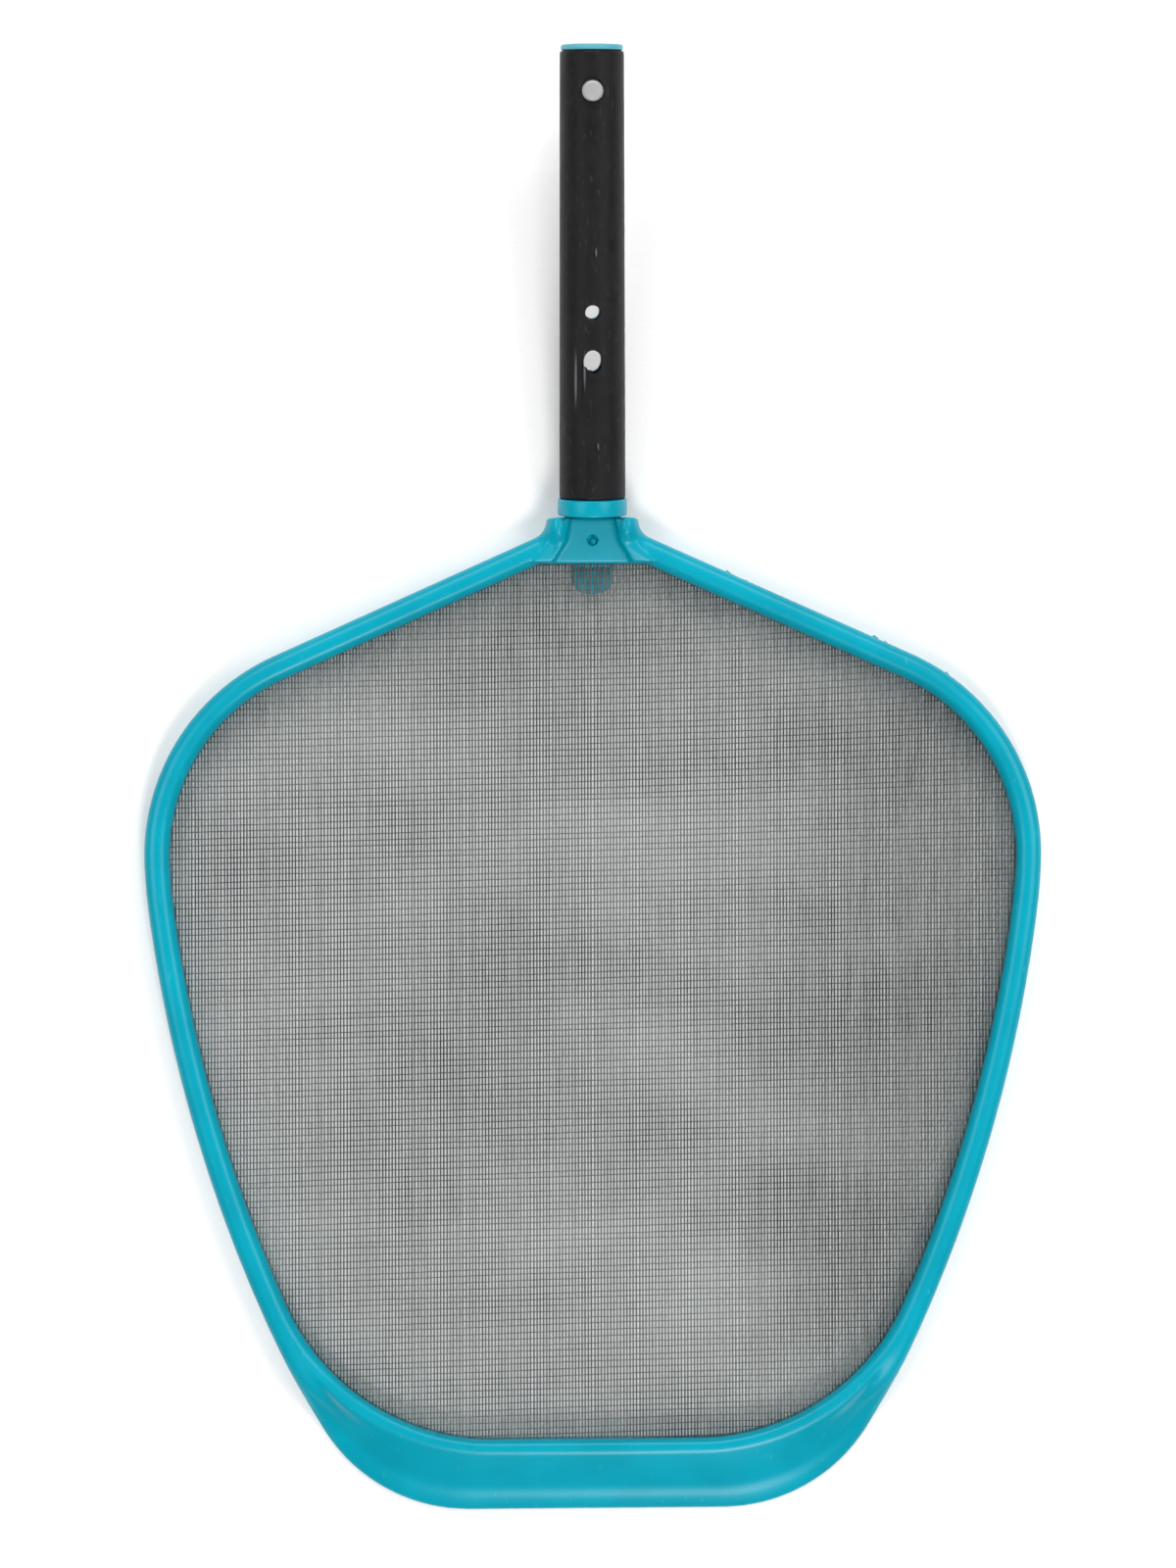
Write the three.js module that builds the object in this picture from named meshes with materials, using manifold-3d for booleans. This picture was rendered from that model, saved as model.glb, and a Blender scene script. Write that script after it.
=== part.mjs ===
// A leaf skimmer net for a swimming pool, lying flat with its net in the XY plane.
// The scoop's front edge points to -Y, the handle to +Y, and the face that lifts the leaves to +Z.
// Two moulded frame halves clamp the net. A tubular handle rises from the hub at a slight angle,
// and a V-shaped spring inside it pushes two snap buttons out through the tube and its grip sleeve.
import * as THREE from "three";
import { mergeVertices } from "three/addons/utils/BufferGeometryUtils.js";
import Module from "manifold-3d";

const wasm = await Module();
wasm.setup();

// ---- Driving dimensions, in millimetres and degrees ----

const GAP = 0.3; // left between pieces that touch
const MARGIN = 1; // by which a cutter reaches past what it cuts

// Outer outline of the head, from the middle of the scoop's front edge round to the hub
const TIP_HALF = 57.3; // half of the straight front edge
const TIP_RADIUS = 76.5;
const TIP_TURN = 61.5;
const SIDE_RADIUS = 657;
const SIDE_TURN = 21.2;
const SHOULDER_RADIUS = 228.6;
const SHOULDER_TURN = 5.3;
const CORNER_RADIUS = 97.5;
const ARM_SLOPE = 24.1; // of the two arms that rise to the hub
const ARM_RUN = 128.8;
const EAR_RADIUS = 8; // where an arm turns up into its ear
const EAR_INNER_RADIUS = 14;
const EAR_LEAN = 5; // of the ears towards each other
const ARM_INNER_RUN = 131.4;

// The rim's section
const RIM_WIDTH = 11.3;
const RIM_TOP = 16;
const SCOOP_DEPTH = 33; // from the front edge to the net
const SCOOP_TURN = 66.2; // how far the net's lower corner turns before it runs beside the outer edge
const LAP = 1; // of the front half over the rear half's outer edge
const BLADE_FULL = 12; // extra width at which the scoop's section has its full shape

// The top of the front half's section, from its outer edge to the net's. A point lies at a share
// of the width plus an inset, at height z. The sides have a rounded rim, and the scoop a blade.
const RIM_CROWN = [
  { share: 1, inset: 0, z: 11.6 },
  { share: 1, inset: -0.9, z: 14.2 },
  { share: 1, inset: -3.1, z: 15.6 },
  { share: 0.5, inset: 0, z: RIM_TOP },
  { share: 0, inset: 3.1, z: 15.6 },
  { share: 0, inset: 0.9, z: 14.2 },
  { share: 0, inset: 0, z: 11.6 },
];
const BLADE_CROWN = [
  { share: 1, inset: 0, z: 1.8 },
  { share: 1, inset: -1.4, z: 3 },
  { share: 0.68, inset: 0, z: 6.4 },
  { share: 0.4, inset: 0, z: 11.4 },
  { share: 0, inset: 7, z: 14.4 },
  { share: 0, inset: 2.6, z: 14.9 },
  { share: 0, inset: 0, z: 12 },
];

// The rounding of the rear half's underside, as [inset from its side, height]
const REAR_ROUNDING = [[0, 4], [0.8, 1.5], [3.1, 0]];

// The net between the two halves
const NET_THICK = 1;
const NET_LOW = 7.3;
const NET_GRIP = 4.2; // how far the net reaches under the rim
const LEDGE = 5; // width of the rear half's ledge under the net
const REAR_LEDGE_TOP = NET_LOW - GAP;
const REAR_TOP = NET_LOW + NET_THICK;
const FRONT_LOW = REAR_TOP + GAP;

// The hub
const HUB_TOP = 444.3;
const EAR_TOP = 22;
const WEB_EDGE = 424.3; // where the web ends and the net begins
const WEB_LOW_TOP = 12;
const WEB_HIGH_TOP = 18;
const WEB_HALF_PLAN = [[26, WEB_EDGE], [20, 429], [14, 434], [12, HUB_TOP]];
const HUB_HALF = 30; // reaches past the web on each side
const TONGUE = { half: 9, end: 411, roundness: 0.6, low: 3.5, top: 6.7 };
const TANG = { half: 11, from: 431, low: 4.3, top: 11 };
const NECK = { half: 6.5, low: 7, to: 451.3 };
const HEEL_REACH = 5; // of the tube's round heel, which fills the slanting gap up to the hub
const SCREW = { x: 6.2, y: 437.3, shank: 1.5, head: 3.2, headThick: 1.8, low: 0.4, tip: 13.2 };
const SCREW_POINT = 2; // length of the screw's tapered tip
const SCREW_BEVEL = { inset: 0.8, height: 0.7 };

// The handle: y runs along it from the hub's face, z points to the front
const HANDLE_TILT = 10;
const HANDLE_FOOT = { y: 445.7, z: 16 };
const HANDLE_LENGTH = 204.7;
const COLLAR_LENGTH = 7.4;
const COLLAR_RADIUS = 15.4;
const COLLAR_BEVEL = 0.6;
const SLEEVE_RADIUS = { foot: 14.7, end: 14 };
const SLEEVE_WALL = 1.7;
const TUBE_WALL = 2.4;
const TUBE_FLOOR = 3; // the wall that closes the tube at the hub
const LIP_RADIUS = 13.6;
const LIP_LENGTH = 2.6;
const LIP_BEVEL = 0.7;
const SPIGOT_LENGTH = 7;
const SPIGOT_BORE = 7.9;

// The holes through the handle, by their distance along it
const BUTTON_HOLE = { y: 185, radius: 5.1 };
const PIN_HOLE = { y: 89.6, radius: 3.3 };
const BOLT_HOLE = { y: 68.2, radius: 4, long: 5.2 };
const HOLE_SLACK = 0.2; // by which the tube's holes are larger than the sleeve's

// The snap clip
const STRIP_THICK = 0.8;
const STRIP_WIDTH = 11.6;
const BEND_RADIUS = 1.9;
const LEG_REACH = 75; // from the bend to the button
const LEG_LENGTH = 83;
const LEG_HEIGHT = 6.3; // of the leg's middle above the handle's axis, at the button
const BUTTON_RADIUS = 4.55;
const BUTTON_TOP = 11.2; // above the leg's middle
const BUTTON_ROUNDING = [[0, -1.2], [-0.4, -0.4], [-1.3, 0]]; // [radius, height] from the top's edge
const NECK_RADIUS = 1.9;
const TAIL_RADIUS = 2.7;
const TAIL_THICK = 0.9; // of the rivet head that holds the button under the strip
const TAIL_BEVEL = 0.5;
const BUTTON_SHIFT = 0.16; // along the handle, so that the swinging button stays clear of its hole

// How finely curves are divided
const SCOOP_STEPS = 14;
const SIDE_STEPS = 6;
const SHOULDER_STEPS = 2;
const CORNER_STEPS = 9;
const ARM_STEPS = 3;
const EAR_STEPS = 4;
const NET_CORNER_STEPS = 10;
const TONGUE_STEPS = 8;
const BEND_STEPS = 6;
const ROUND = 40;
const HOLE_ROUND = 24;

// ---- Materials ----

function plastic(color, roughness) {
  return new THREE.MeshStandardMaterial({ color, roughness, metalness: 0 });
}

const TURQUOISE = plastic(0x0aa9bf, 0.35);
const BLACK_RUBBER = plastic(0x2a2a2c, 0.75);
const NET_GREY = plastic(0x97999a, 0.8);
const STEEL = new THREE.MeshStandardMaterial({ color: 0xb4b4b4, roughness: 0.3, metalness: 1 });

// ---- Small tools ----

const radians = THREE.MathUtils.degToRad;
const { lerp, smoothstep } = THREE.MathUtils;

/** A plane curve of straight runs and arcs, each starting where and as the last one ended. */
class Route {
  constructor(x, y, heading, moves) {
    this.pieces = [];
    let at = { x, y, heading };
    for (const move of moves) {
      const length = move.run ?? Math.abs(radians(move.turn)) * move.radius;
      const bend = move.run === undefined ? Math.sign(move.turn) / move.radius : 0;
      const piece = { ...at, length, bend };
      this.pieces.push(piece);
      at = Route.along(piece, length);
    }
    this.end = at;
  }

  static along({ x, y, heading, bend }, length) {
    if (bend === 0) {
      return { x: x + length * Math.cos(heading), y: y + length * Math.sin(heading), heading };
    }
    const after = heading + length * bend;
    return {
      x: x + (Math.sin(after) - Math.sin(heading)) / bend,
      y: y + (Math.cos(heading) - Math.cos(after)) / bend,
      heading: after,
    };
  }

  /** The length from the start to the end of the first count pieces. */
  lengthOf(count) {
    return this.pieces.slice(0, count).reduce((sum, piece) => sum + piece.length, 0);
  }

  at(length) {
    let left = length;
    for (const piece of this.pieces.slice(0, -1)) {
      if (left <= piece.length) return Route.along(piece, left);
      left -= piece.length;
    }
    return Route.along(this.pieces.at(-1), left);
  }
}

/** A solid for cutting and joining, from a closed three.js geometry. */
function solid(geometry) {
  const bare = new THREE.BufferGeometry();
  bare.setAttribute("position", geometry.getAttribute("position").clone());
  if (geometry.index) bare.setIndex(geometry.index.clone());
  const merged = mergeVertices(bare, 1e-4);
  return new wasm.Manifold(
    new wasm.Mesh({
      numProp: 3,
      vertProperties: new Float32Array(merged.getAttribute("position").array),
      triVerts: new Uint32Array(merged.index.array),
    }),
  );
}

function geometryOf(manifold) {
  const { vertProperties, triVerts } = manifold.getMesh();
  const geometry = new THREE.BufferGeometry();
  geometry.setAttribute("position", new THREE.BufferAttribute(vertProperties, 3));
  geometry.setIndex(new THREE.BufferAttribute(triVerts, 1));
  geometry.computeVertexNormals();
  return geometry;
}

/** A prism of a plan outline, [[x, y], ...], between two heights. */
function slab(outline, low, top) {
  const shape = new THREE.Shape(outline.map(([x, y]) => new THREE.Vector2(x, y)));
  return new THREE.ExtrudeGeometry(shape, { depth: top - low, bevelEnabled: false, steps: 1 })
    .translate(0, 0, low);
}

/** A prism of a side outline, [[y, z], ...], reaching half to each side of the YZ plane. */
function sideSlab(outline, half) {
  const alongY = new THREE.Vector3(0, 1, 0);
  const alongZ = new THREE.Vector3(0, 0, 1);
  const alongX = new THREE.Vector3(1, 0, 0);
  const upright = new THREE.Matrix4().makeBasis(alongY, alongZ, alongX);
  return slab(outline, -half, half).applyMatrix4(upright);
}

function block(halfX, y0, y1, z0, z1) {
  return new THREE.BoxGeometry(2 * halfX, y1 - y0, z1 - z0)
    .translate(0, (y0 + y1) / 2, (z0 + z1) / 2);
}

/** A whole outline that is the same on both sides, from its right half. */
function bothSides(right) {
  return [...right, ...right.toReversed().map(([x, y]) => [-x, y])];
}

/** A rod along Z, of an oval section if ry is given. */
function rod(x, y, rx, z0, z1, ry = rx) {
  return new THREE.CylinderGeometry(1, 1, z1 - z0, HOLE_ROUND)
    .rotateX(Math.PI / 2)
    .scale(rx, ry, 1)
    .translate(x, y, (z0 + z1) / 2);
}

/** A turned piece about the Y axis, from a closed profile of [radius, y]. */
function turned(profile, segments = ROUND) {
  const points = [...profile, profile[0]].map(([r, y]) => new THREE.Vector2(r, y));
  return new THREE.LatheGeometry(points, segments);
}

function mesh(name, geometry, material) {
  const made = new THREE.Mesh(geometry, material);
  made.name = name;
  return made;
}

// ---- The head's outlines ----

const armHeading = 180 - ARM_SLOPE;
const cornerTurn = armHeading - TIP_TURN - SIDE_TURN - SHOULDER_TURN;
const earTurn = -(armHeading - 90 - EAR_LEAN);

/** A route with one more straight run, up to the hub's top. */
function toHubTop(x, y, heading, moves) {
  const { y: reached } = new Route(x, y, heading, moves).end;
  const run = (HUB_TOP - reached) / Math.cos(radians(EAR_LEAN));
  return new Route(x, y, heading, [...moves, { run }]);
}

const outer = toHubTop(0, 0, 0, [
  { run: TIP_HALF },
  { radius: TIP_RADIUS, turn: TIP_TURN },
  { radius: SIDE_RADIUS, turn: SIDE_TURN },
  { radius: SHOULDER_RADIUS, turn: SHOULDER_TURN },
  { radius: CORNER_RADIUS, turn: cornerTurn },
  { run: ARM_RUN },
  { radius: EAR_RADIUS, turn: earTurn },
]);

/** Where the net's edge starts to run beside the outer outline, and the outer length there. */
const sideStart = outer.lengthOf(2) + radians(SCOOP_TURN - TIP_TURN) * SIDE_RADIUS;
const beside = outer.at(sideStart);
const besideNet = {
  x: beside.x - RIM_WIDTH * Math.sin(beside.heading),
  y: beside.y + RIM_WIDTH * Math.cos(beside.heading),
};
const netCornerRadius = (besideNet.y - SCOOP_DEPTH) / (1 - Math.cos(radians(SCOOP_TURN)));
const netFlatHalf = besideNet.x - netCornerRadius * Math.sin(radians(SCOOP_TURN));

/** The moves of the net's visible edge up to the arm's end, moved outwards by grow. */
function netMoves(grow) {
  const inset = RIM_WIDTH - grow;
  return [
    { run: netFlatHalf },
    { radius: netCornerRadius + grow, turn: SCOOP_TURN },
    { radius: SIDE_RADIUS - inset, turn: TIP_TURN + SIDE_TURN - SCOOP_TURN },
    { radius: SHOULDER_RADIUS - inset, turn: SHOULDER_TURN },
    { radius: CORNER_RADIUS - inset, turn: cornerTurn },
    { run: ARM_INNER_RUN },
  ];
}

const inner = toHubTop(0, SCOOP_DEPTH, 0, [
  ...netMoves(0),
  { radius: EAR_INNER_RADIUS, turn: earTurn },
]);

/** Pairs of facing points on the inner and outer outlines, from the scoop's middle to an ear. */
function halfStations() {
  const outerStops = [0, sideStart, ...[3, 4, 5, 6, 7, 8].map((n) => outer.lengthOf(n))];
  const innerStops = [0, ...[2, 3, 4, 5, 6, 7, 8].map((n) => inner.lengthOf(n))];
  const steps = [SCOOP_STEPS, SIDE_STEPS, SHOULDER_STEPS, CORNER_STEPS, ARM_STEPS, EAR_STEPS, 1];
  const stations = [{ in: inner.at(0), out: outer.at(0), ear: 0 }];
  steps.forEach((count, zone) => {
    for (let i = 1; i <= count; i += 1) {
      const share = i / count;
      stations.push({
        in: inner.at(lerp(innerStops[zone], innerStops[zone + 1], share)),
        out: outer.at(lerp(outerStops[zone], outerStops[zone + 1], share)),
        ear: zone < 5 ? 0 : zone === 5 ? smoothstep(share, 0, 1) : 1,
      });
    }
  });
  return stations;
}

function mirrored(station) {
  return {
    in: { x: -station.in.x, y: station.in.y },
    out: { x: -station.out.x, y: station.out.y },
    ear: station.ear,
  };
}

const half = halfStations();
const stations = [...half.slice(1).reverse().map(mirrored), ...half];

// ---- The two frame halves ----

/** The front half's section as [distance from the net's edge, height], for a rim this wide. */
function frontSection(width, ear) {
  const blade = smoothstep(width - RIM_WIDTH, 0, BLADE_FULL);
  const lapWall = RIM_WIDTH - LAP;
  const lapLow = lerp(REAR_TOP - GAP, 0, blade);
  const taller = lerp(1, (EAR_TOP - FRONT_LOW) / (RIM_TOP - FRONT_LOW), ear);
  const crown = RIM_CROWN.map((rimPoint, i) => {
    const bladePoint = BLADE_CROWN[i];
    const raised = FRONT_LOW + (rimPoint.z - FRONT_LOW) * taller;
    const onRim = width * rimPoint.share + rimPoint.inset;
    const onBlade = width * bladePoint.share + bladePoint.inset;
    return [lerp(onRim, onBlade, blade), lerp(raised, bladePoint.z, blade)];
  });
  return [
    [0, FRONT_LOW],
    [lapWall, FRONT_LOW],
    [lapWall, lapLow],
    [width, lapLow],
    ...crown,
  ];
}

function rearSection() {
  const width = RIM_WIDTH - LAP - GAP;
  const outerSide = REAR_ROUNDING.toReversed().map(([inset, z]) => [width - inset, z]);
  return [
    [0, REAR_LEDGE_TOP],
    ...REAR_ROUNDING,
    ...outerSide,
    [width, REAR_TOP],
    [LEDGE, REAR_TOP],
    [LEDGE, REAR_LEDGE_TOP],
  ];
}

/** A solid rim: one section at each station, skinned from ear to ear and closed at both ends. */
function rim(sectionAt) {
  const rings = stations.map(({ in: a, out: b, ear }) => {
    const width = Math.hypot(b.x - a.x, b.y - a.y);
    const across = { x: (b.x - a.x) / width, y: (b.y - a.y) / width };
    return sectionAt(width, ear).map(([s, z]) => [a.x + s * across.x, a.y + s * across.y, z]);
  });
  const size = rings[0].length;
  const triangles = [];
  for (let ring = 0; ring + 1 < rings.length; ring += 1) {
    for (let k = 0; k < size; k += 1) {
      const a = ring * size + k;
      const b = ring * size + ((k + 1) % size);
      triangles.push(a, a + size, b, b, a + size, b + size);
    }
  }
  const last = (rings.length - 1) * size;
  const cap = (section) => THREE.ShapeUtils.triangulateShape(
    section.map(([s, z]) => new THREE.Vector2(s, z)), []);
  for (const [a, b, c] of cap(sectionAt(widthAt(0), 1))) triangles.push(a, b, c);
  for (const [a, b, c] of cap(sectionAt(widthAt(-1), 1))) triangles.push(last + a, last + c, last + b);
  const geometry = new THREE.BufferGeometry();
  geometry.setAttribute("position", new THREE.Float32BufferAttribute(rings.flat(2), 3));
  geometry.setIndex(triangles);
  return geometry;
}

function widthAt(index) {
  const { in: a, out: b } = stations.at(index);
  return Math.hypot(b.x - a.x, b.y - a.y);
}

function screwHoles(radius, low, top) {
  return [-1, 1].map((side) => solid(rod(side * SCREW.x, SCREW.y, radius, low, top)));
}

function cutAll(body, cutters) {
  return cutters.reduce((left, cutter) => left.subtract(cutter), body);
}

/** Room for the tang, open towards the handle. */
function pocket(low, top) {
  return solid(block(TANG.half + GAP, TANG.from - GAP, HUB_TOP + MARGIN, low, top));
}

/** The web between the ears, which rises towards the handle. */
function frontWeb() {
  const slope = [
    [WEB_EDGE - MARGIN, FRONT_LOW],
    [HUB_TOP + MARGIN, FRONT_LOW],
    [HUB_TOP + MARGIN, WEB_HIGH_TOP],
    [WEB_EDGE - MARGIN, WEB_LOW_TOP],
  ];
  const plan = slab(bothSides(WEB_HALF_PLAN), FRONT_LOW, WEB_HIGH_TOP + MARGIN);
  return solid(plan).intersect(solid(sideSlab(slope, HUB_HALF)));
}

function frontFrame() {
  const body = solid(rim(frontSection))
    .add(frontWeb())
    .subtract(pocket(FRONT_LOW - MARGIN, TANG.top + GAP));
  const holes = screwHoles(SCREW.shank + GAP, FRONT_LOW - MARGIN, SCREW.tip + GAP);
  return mesh("front_frame", geometryOf(cutAll(body, holes)), TURQUOISE);
}

/** The tongue's plan: straight sides from the web, and a rounded end under the net. */
function tongueOutline() {
  const { half: halfWidth, end, roundness } = TONGUE;
  const rounded = [];
  for (let i = 0; i <= TONGUE_STEPS; i += 1) {
    const angle = Math.PI * (i / TONGUE_STEPS);
    const back = halfWidth * roundness * (1 - Math.sin(angle));
    rounded.push([-halfWidth * Math.cos(angle), end + back]);
  }
  const root = WEB_EDGE + MARGIN;
  return [...rounded, [halfWidth, root], [-halfWidth, root]];
}

/** The plate behind the web, with a step along its edge for the net. */
function rearPlate() {
  const plate = slab(bothSides(WEB_HALF_PLAN), 0, REAR_TOP);
  const netRoom = block(
    HUB_HALF, WEB_EDGE - MARGIN, WEB_EDGE + LEDGE, REAR_LEDGE_TOP, REAR_TOP + MARGIN,
  );
  return solid(plate).subtract(solid(netRoom));
}

function rearFrame() {
  const body = solid(rim(rearSection))
    .add(rearPlate())
    .add(solid(slab(tongueOutline(), TONGUE.low, TONGUE.top)))
    .subtract(pocket(TANG.low - GAP, REAR_TOP + MARGIN));
  const holes = [
    ...screwHoles(SCREW.shank + GAP, -MARGIN, REAR_TOP),
    ...screwHoles(SCREW.head + GAP, -MARGIN, SCREW.low + SCREW.headThick + GAP),
  ];
  return mesh("rear_frame", geometryOf(cutAll(body, holes)), TURQUOISE);
}

// ---- The net ----

function netPanel() {
  const edge = new Route(0, SCOOP_DEPTH - NET_GRIP, 0, netMoves(NET_GRIP));
  const stops = [0, ...[1, 2, 3, 4, 5].map((n) => edge.lengthOf(n))];
  const counts = [1, NET_CORNER_STEPS, SIDE_STEPS, SHOULDER_STEPS, CORNER_STEPS];
  const right = [];
  counts.forEach((count, zone) => {
    for (let i = 1; i <= count; i += 1) {
      const { x, y } = edge.at(lerp(stops[zone], stops[zone + 1], i / count));
      right.push([x, y]);
    }
  });
  const [cornerX, cornerY] = right.at(-1);
  const top = WEB_EDGE + NET_GRIP;
  right.push([cornerX - (top - cornerY) / Math.tan(radians(ARM_SLOPE)), top]);
  return mesh("net_panel", slab(bothSides(right), NET_LOW, NET_LOW + NET_THICK), NET_GREY);
}

// ---- The hub's screws ----

function hubScrew(name, side) {
  const { low, headThick, head, shank, tip } = SCREW;
  const profile = [
    [0, low],
    [head - SCREW_BEVEL.inset, low],
    [head, low + SCREW_BEVEL.height],
    [head, low + headThick],
    [shank, low + headThick],
    [shank, tip - SCREW_POINT],
    [0, tip],
  ];
  const points = profile.map(([r, y]) => new THREE.Vector2(r, y));
  const screw = mesh(name, new THREE.LatheGeometry(points, HOLE_ROUND), STEEL);
  screw.rotation.x = Math.PI / 2;
  screw.position.set(side * SCREW.x, SCREW.y, 0);
  return screw;
}

// ---- The handle, in its own frame ----

/** A radius of the tapering sleeve's outside, reduced by inset. */
function taper(y, inset) {
  return lerp(SLEEVE_RADIUS.foot, SLEEVE_RADIUS.end, y / HANDLE_LENGTH) - inset;
}

const TUBE_INSET = SLEEVE_WALL + GAP;
const BORE_INSET = TUBE_INSET + TUBE_WALL;
const TUBE_END = HANDLE_LENGTH - LIP_LENGTH - GAP;

function crossHoles(slack) {
  const reach = SLEEVE_RADIUS.foot + MARGIN;
  return [
    solid(rod(0, BUTTON_HOLE.y, BUTTON_HOLE.radius + slack, -reach, reach)),
    solid(rod(0, PIN_HOLE.y, PIN_HOLE.radius + slack, -reach, reach)),
    solid(rod(0, BOLT_HOLE.y, BOLT_HOLE.radius + slack, -reach, reach, BOLT_HOLE.long + slack)),
  ];
}

function gripSleeve() {
  const start = COLLAR_LENGTH + GAP;
  const profile = [
    [taper(start, SLEEVE_WALL), start],
    [taper(start, 0), start],
    [taper(TUBE_END, 0), TUBE_END],
    [taper(TUBE_END, SLEEVE_WALL), TUBE_END],
  ];
  const body = cutAll(solid(turned(profile)), crossHoles(0));
  return mesh("grip_sleeve", geometryOf(body), BLACK_RUBBER);
}

/** Moves a geometry made in the head's frame into the handle's frame. */
function intoHandle(geometry) {
  return geometry
    .translate(0, -HANDLE_FOOT.y, -HANDLE_FOOT.z)
    .rotateX(-radians(HANDLE_TILT));
}

function handleTube() {
  const profile = [
    [0, 0],
    [taper(0, TUBE_INSET), 0],
    [taper(TUBE_END, TUBE_INSET), TUBE_END],
    [taper(TUBE_END, BORE_INSET), TUBE_END],
    [taper(TUBE_FLOOR, BORE_INSET), TUBE_FLOOR],
    [0, TUBE_FLOOR],
  ];
  const points = profile.map(([r, y]) => new THREE.Vector2(r, y));
  const tube = solid(new THREE.LatheGeometry(points, ROUND));
  const bore = solid(turned([
    [0, TUBE_FLOOR],
    [taper(TUBE_FLOOR, BORE_INSET), TUBE_FLOOR],
    [taper(TUBE_END, BORE_INSET), TUBE_END],
    [0, TUBE_END],
  ]));
  const tang = solid(intoHandle(block(TANG.half, TANG.from, HUB_TOP, TANG.low, TANG.top)));
  const neck = solid(intoHandle(block(NECK.half, HUB_TOP - MARGIN, NECK.to, NECK.low, TANG.top)));
  const heelRadius = taper(0, TUBE_INSET);
  const heel = solid(turned([
    [0, -HEEL_REACH],
    [heelRadius, -HEEL_REACH],
    [heelRadius, 1],
    [0, 1],
  ])).intersect(solid(intoHandle(block(2 * heelRadius, HUB_TOP + GAP, NECK.to, -MARGIN, 3 * EAR_TOP))));
  const screwRoom = (side) => rod(side * SCREW.x, SCREW.y, SCREW.shank + GAP, 0, TANG.top + MARGIN);
  const holes = [
    ...crossHoles(HOLE_SLACK),
    ...[-1, 1].map((side) => solid(intoHandle(screwRoom(side)))),
  ];
  const body = cutAll(tube.add(heel).add(neck.subtract(bore)).add(tang), holes);
  return mesh("handle_tube", geometryOf(body), TURQUOISE);
}

function collarRing() {
  const bore = taper(0, TUBE_INSET) + GAP;
  return mesh("collar_ring", turned([
    [bore, 0],
    [COLLAR_RADIUS - COLLAR_BEVEL, 0],
    [COLLAR_RADIUS, COLLAR_BEVEL],
    [COLLAR_RADIUS, COLLAR_LENGTH - COLLAR_BEVEL],
    [COLLAR_RADIUS - COLLAR_BEVEL, COLLAR_LENGTH],
    [bore, COLLAR_LENGTH],
  ]), TURQUOISE);
}

function endRing() {
  const low = TUBE_END - SPIGOT_LENGTH;
  const flange = TUBE_END + GAP;
  const spigot = taper(TUBE_END, BORE_INSET) - GAP;
  return mesh("end_ring", turned([
    [SPIGOT_BORE, low],
    [spigot, low],
    [spigot, flange],
    [LIP_RADIUS, flange],
    [LIP_RADIUS, HANDLE_LENGTH - LIP_BEVEL],
    [LIP_RADIUS - LIP_BEVEL, HANDLE_LENGTH],
    [SPIGOT_BORE, HANDLE_LENGTH],
  ]), TURQUOISE);
}

// ---- The snap clip, in the handle's frame ----

const legSlope = Math.asin((LEG_HEIGHT - BEND_RADIUS) / LEG_REACH);
const bendY = BUTTON_HOLE.y + BUTTON_SHIFT - LEG_REACH * Math.cos(legSlope);

function clipBend() {
  const shape = new THREE.Shape();
  shape.absarc(0, 0, BEND_RADIUS + STRIP_THICK / 2, Math.PI / 2, 1.5 * Math.PI, false);
  shape.absarc(0, 0, BEND_RADIUS - STRIP_THICK / 2, 1.5 * Math.PI, Math.PI / 2, true);
  const outline = shape.extractPoints(BEND_STEPS).shape.slice(0, -1).map(({ x, y }) => [x, y]);
  const bend = mesh("clip_bend", sideSlab(outline, STRIP_WIDTH / 2), STEEL);
  bend.position.y = bendY;
  return bend;
}

/** A button, turned about Y, with its rivet head under the strip that lies at y = 0. */
function buttonGeometry() {
  const clear = STRIP_THICK / 2 + GAP;
  const profile = [
    [0, -clear - TAIL_THICK],
    [TAIL_RADIUS - TAIL_BEVEL, -clear - TAIL_THICK],
    [TAIL_RADIUS, -clear - TAIL_THICK + TAIL_BEVEL],
    [TAIL_RADIUS, -clear],
    [NECK_RADIUS, -clear],
    [NECK_RADIUS, clear],
    [BUTTON_RADIUS, clear],
    ...BUTTON_ROUNDING.map(([inset, drop]) => [BUTTON_RADIUS + inset, BUTTON_TOP + drop]),
    [0, BUTTON_TOP],
  ];
  return new THREE.LatheGeometry(profile.map(([r, y]) => new THREE.Vector2(r, y)), HOLE_ROUND);
}

/** One spring leg with its button, in a group that is turned about the leg's root. */
function snap(side, word) {
  const strip = solid(block(STRIP_WIDTH / 2, GAP, LEG_LENGTH, -STRIP_THICK / 2, STRIP_THICK / 2));
  const hole = solid(rod(0, LEG_REACH, NECK_RADIUS + GAP, -STRIP_THICK, STRIP_THICK));
  const button = mesh(`button_${word}`, buttonGeometry(), STEEL);
  button.rotation.x = Math.PI / 2;
  button.position.y = LEG_REACH;
  const swing = new THREE.Group();
  swing.add(mesh(`clip_leg_${word}`, geometryOf(strip.subtract(hole)), STEEL), button);
  swing.rotation.x = legSlope;
  swing.position.set(0, bendY, BEND_RADIUS);
  const sided = new THREE.Group();
  sided.add(swing);
  sided.rotation.y = side > 0 ? 0 : Math.PI;
  return sided;
}

// ---- The whole skimmer ----

const handle = new THREE.Group();
handle.add(handleTube(), collarRing(), gripSleeve(), endRing(), clipBend());
handle.add(snap(1, "front"), snap(-1, "rear"));
handle.position.set(0, HANDLE_FOOT.y, HANDLE_FOOT.z);
const tilt = radians(HANDLE_TILT);
handle.rotation.x = tilt;

const overallLength = HANDLE_FOOT.y + HANDLE_LENGTH * Math.cos(tilt) + LIP_RADIUS * Math.sin(tilt);

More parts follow.
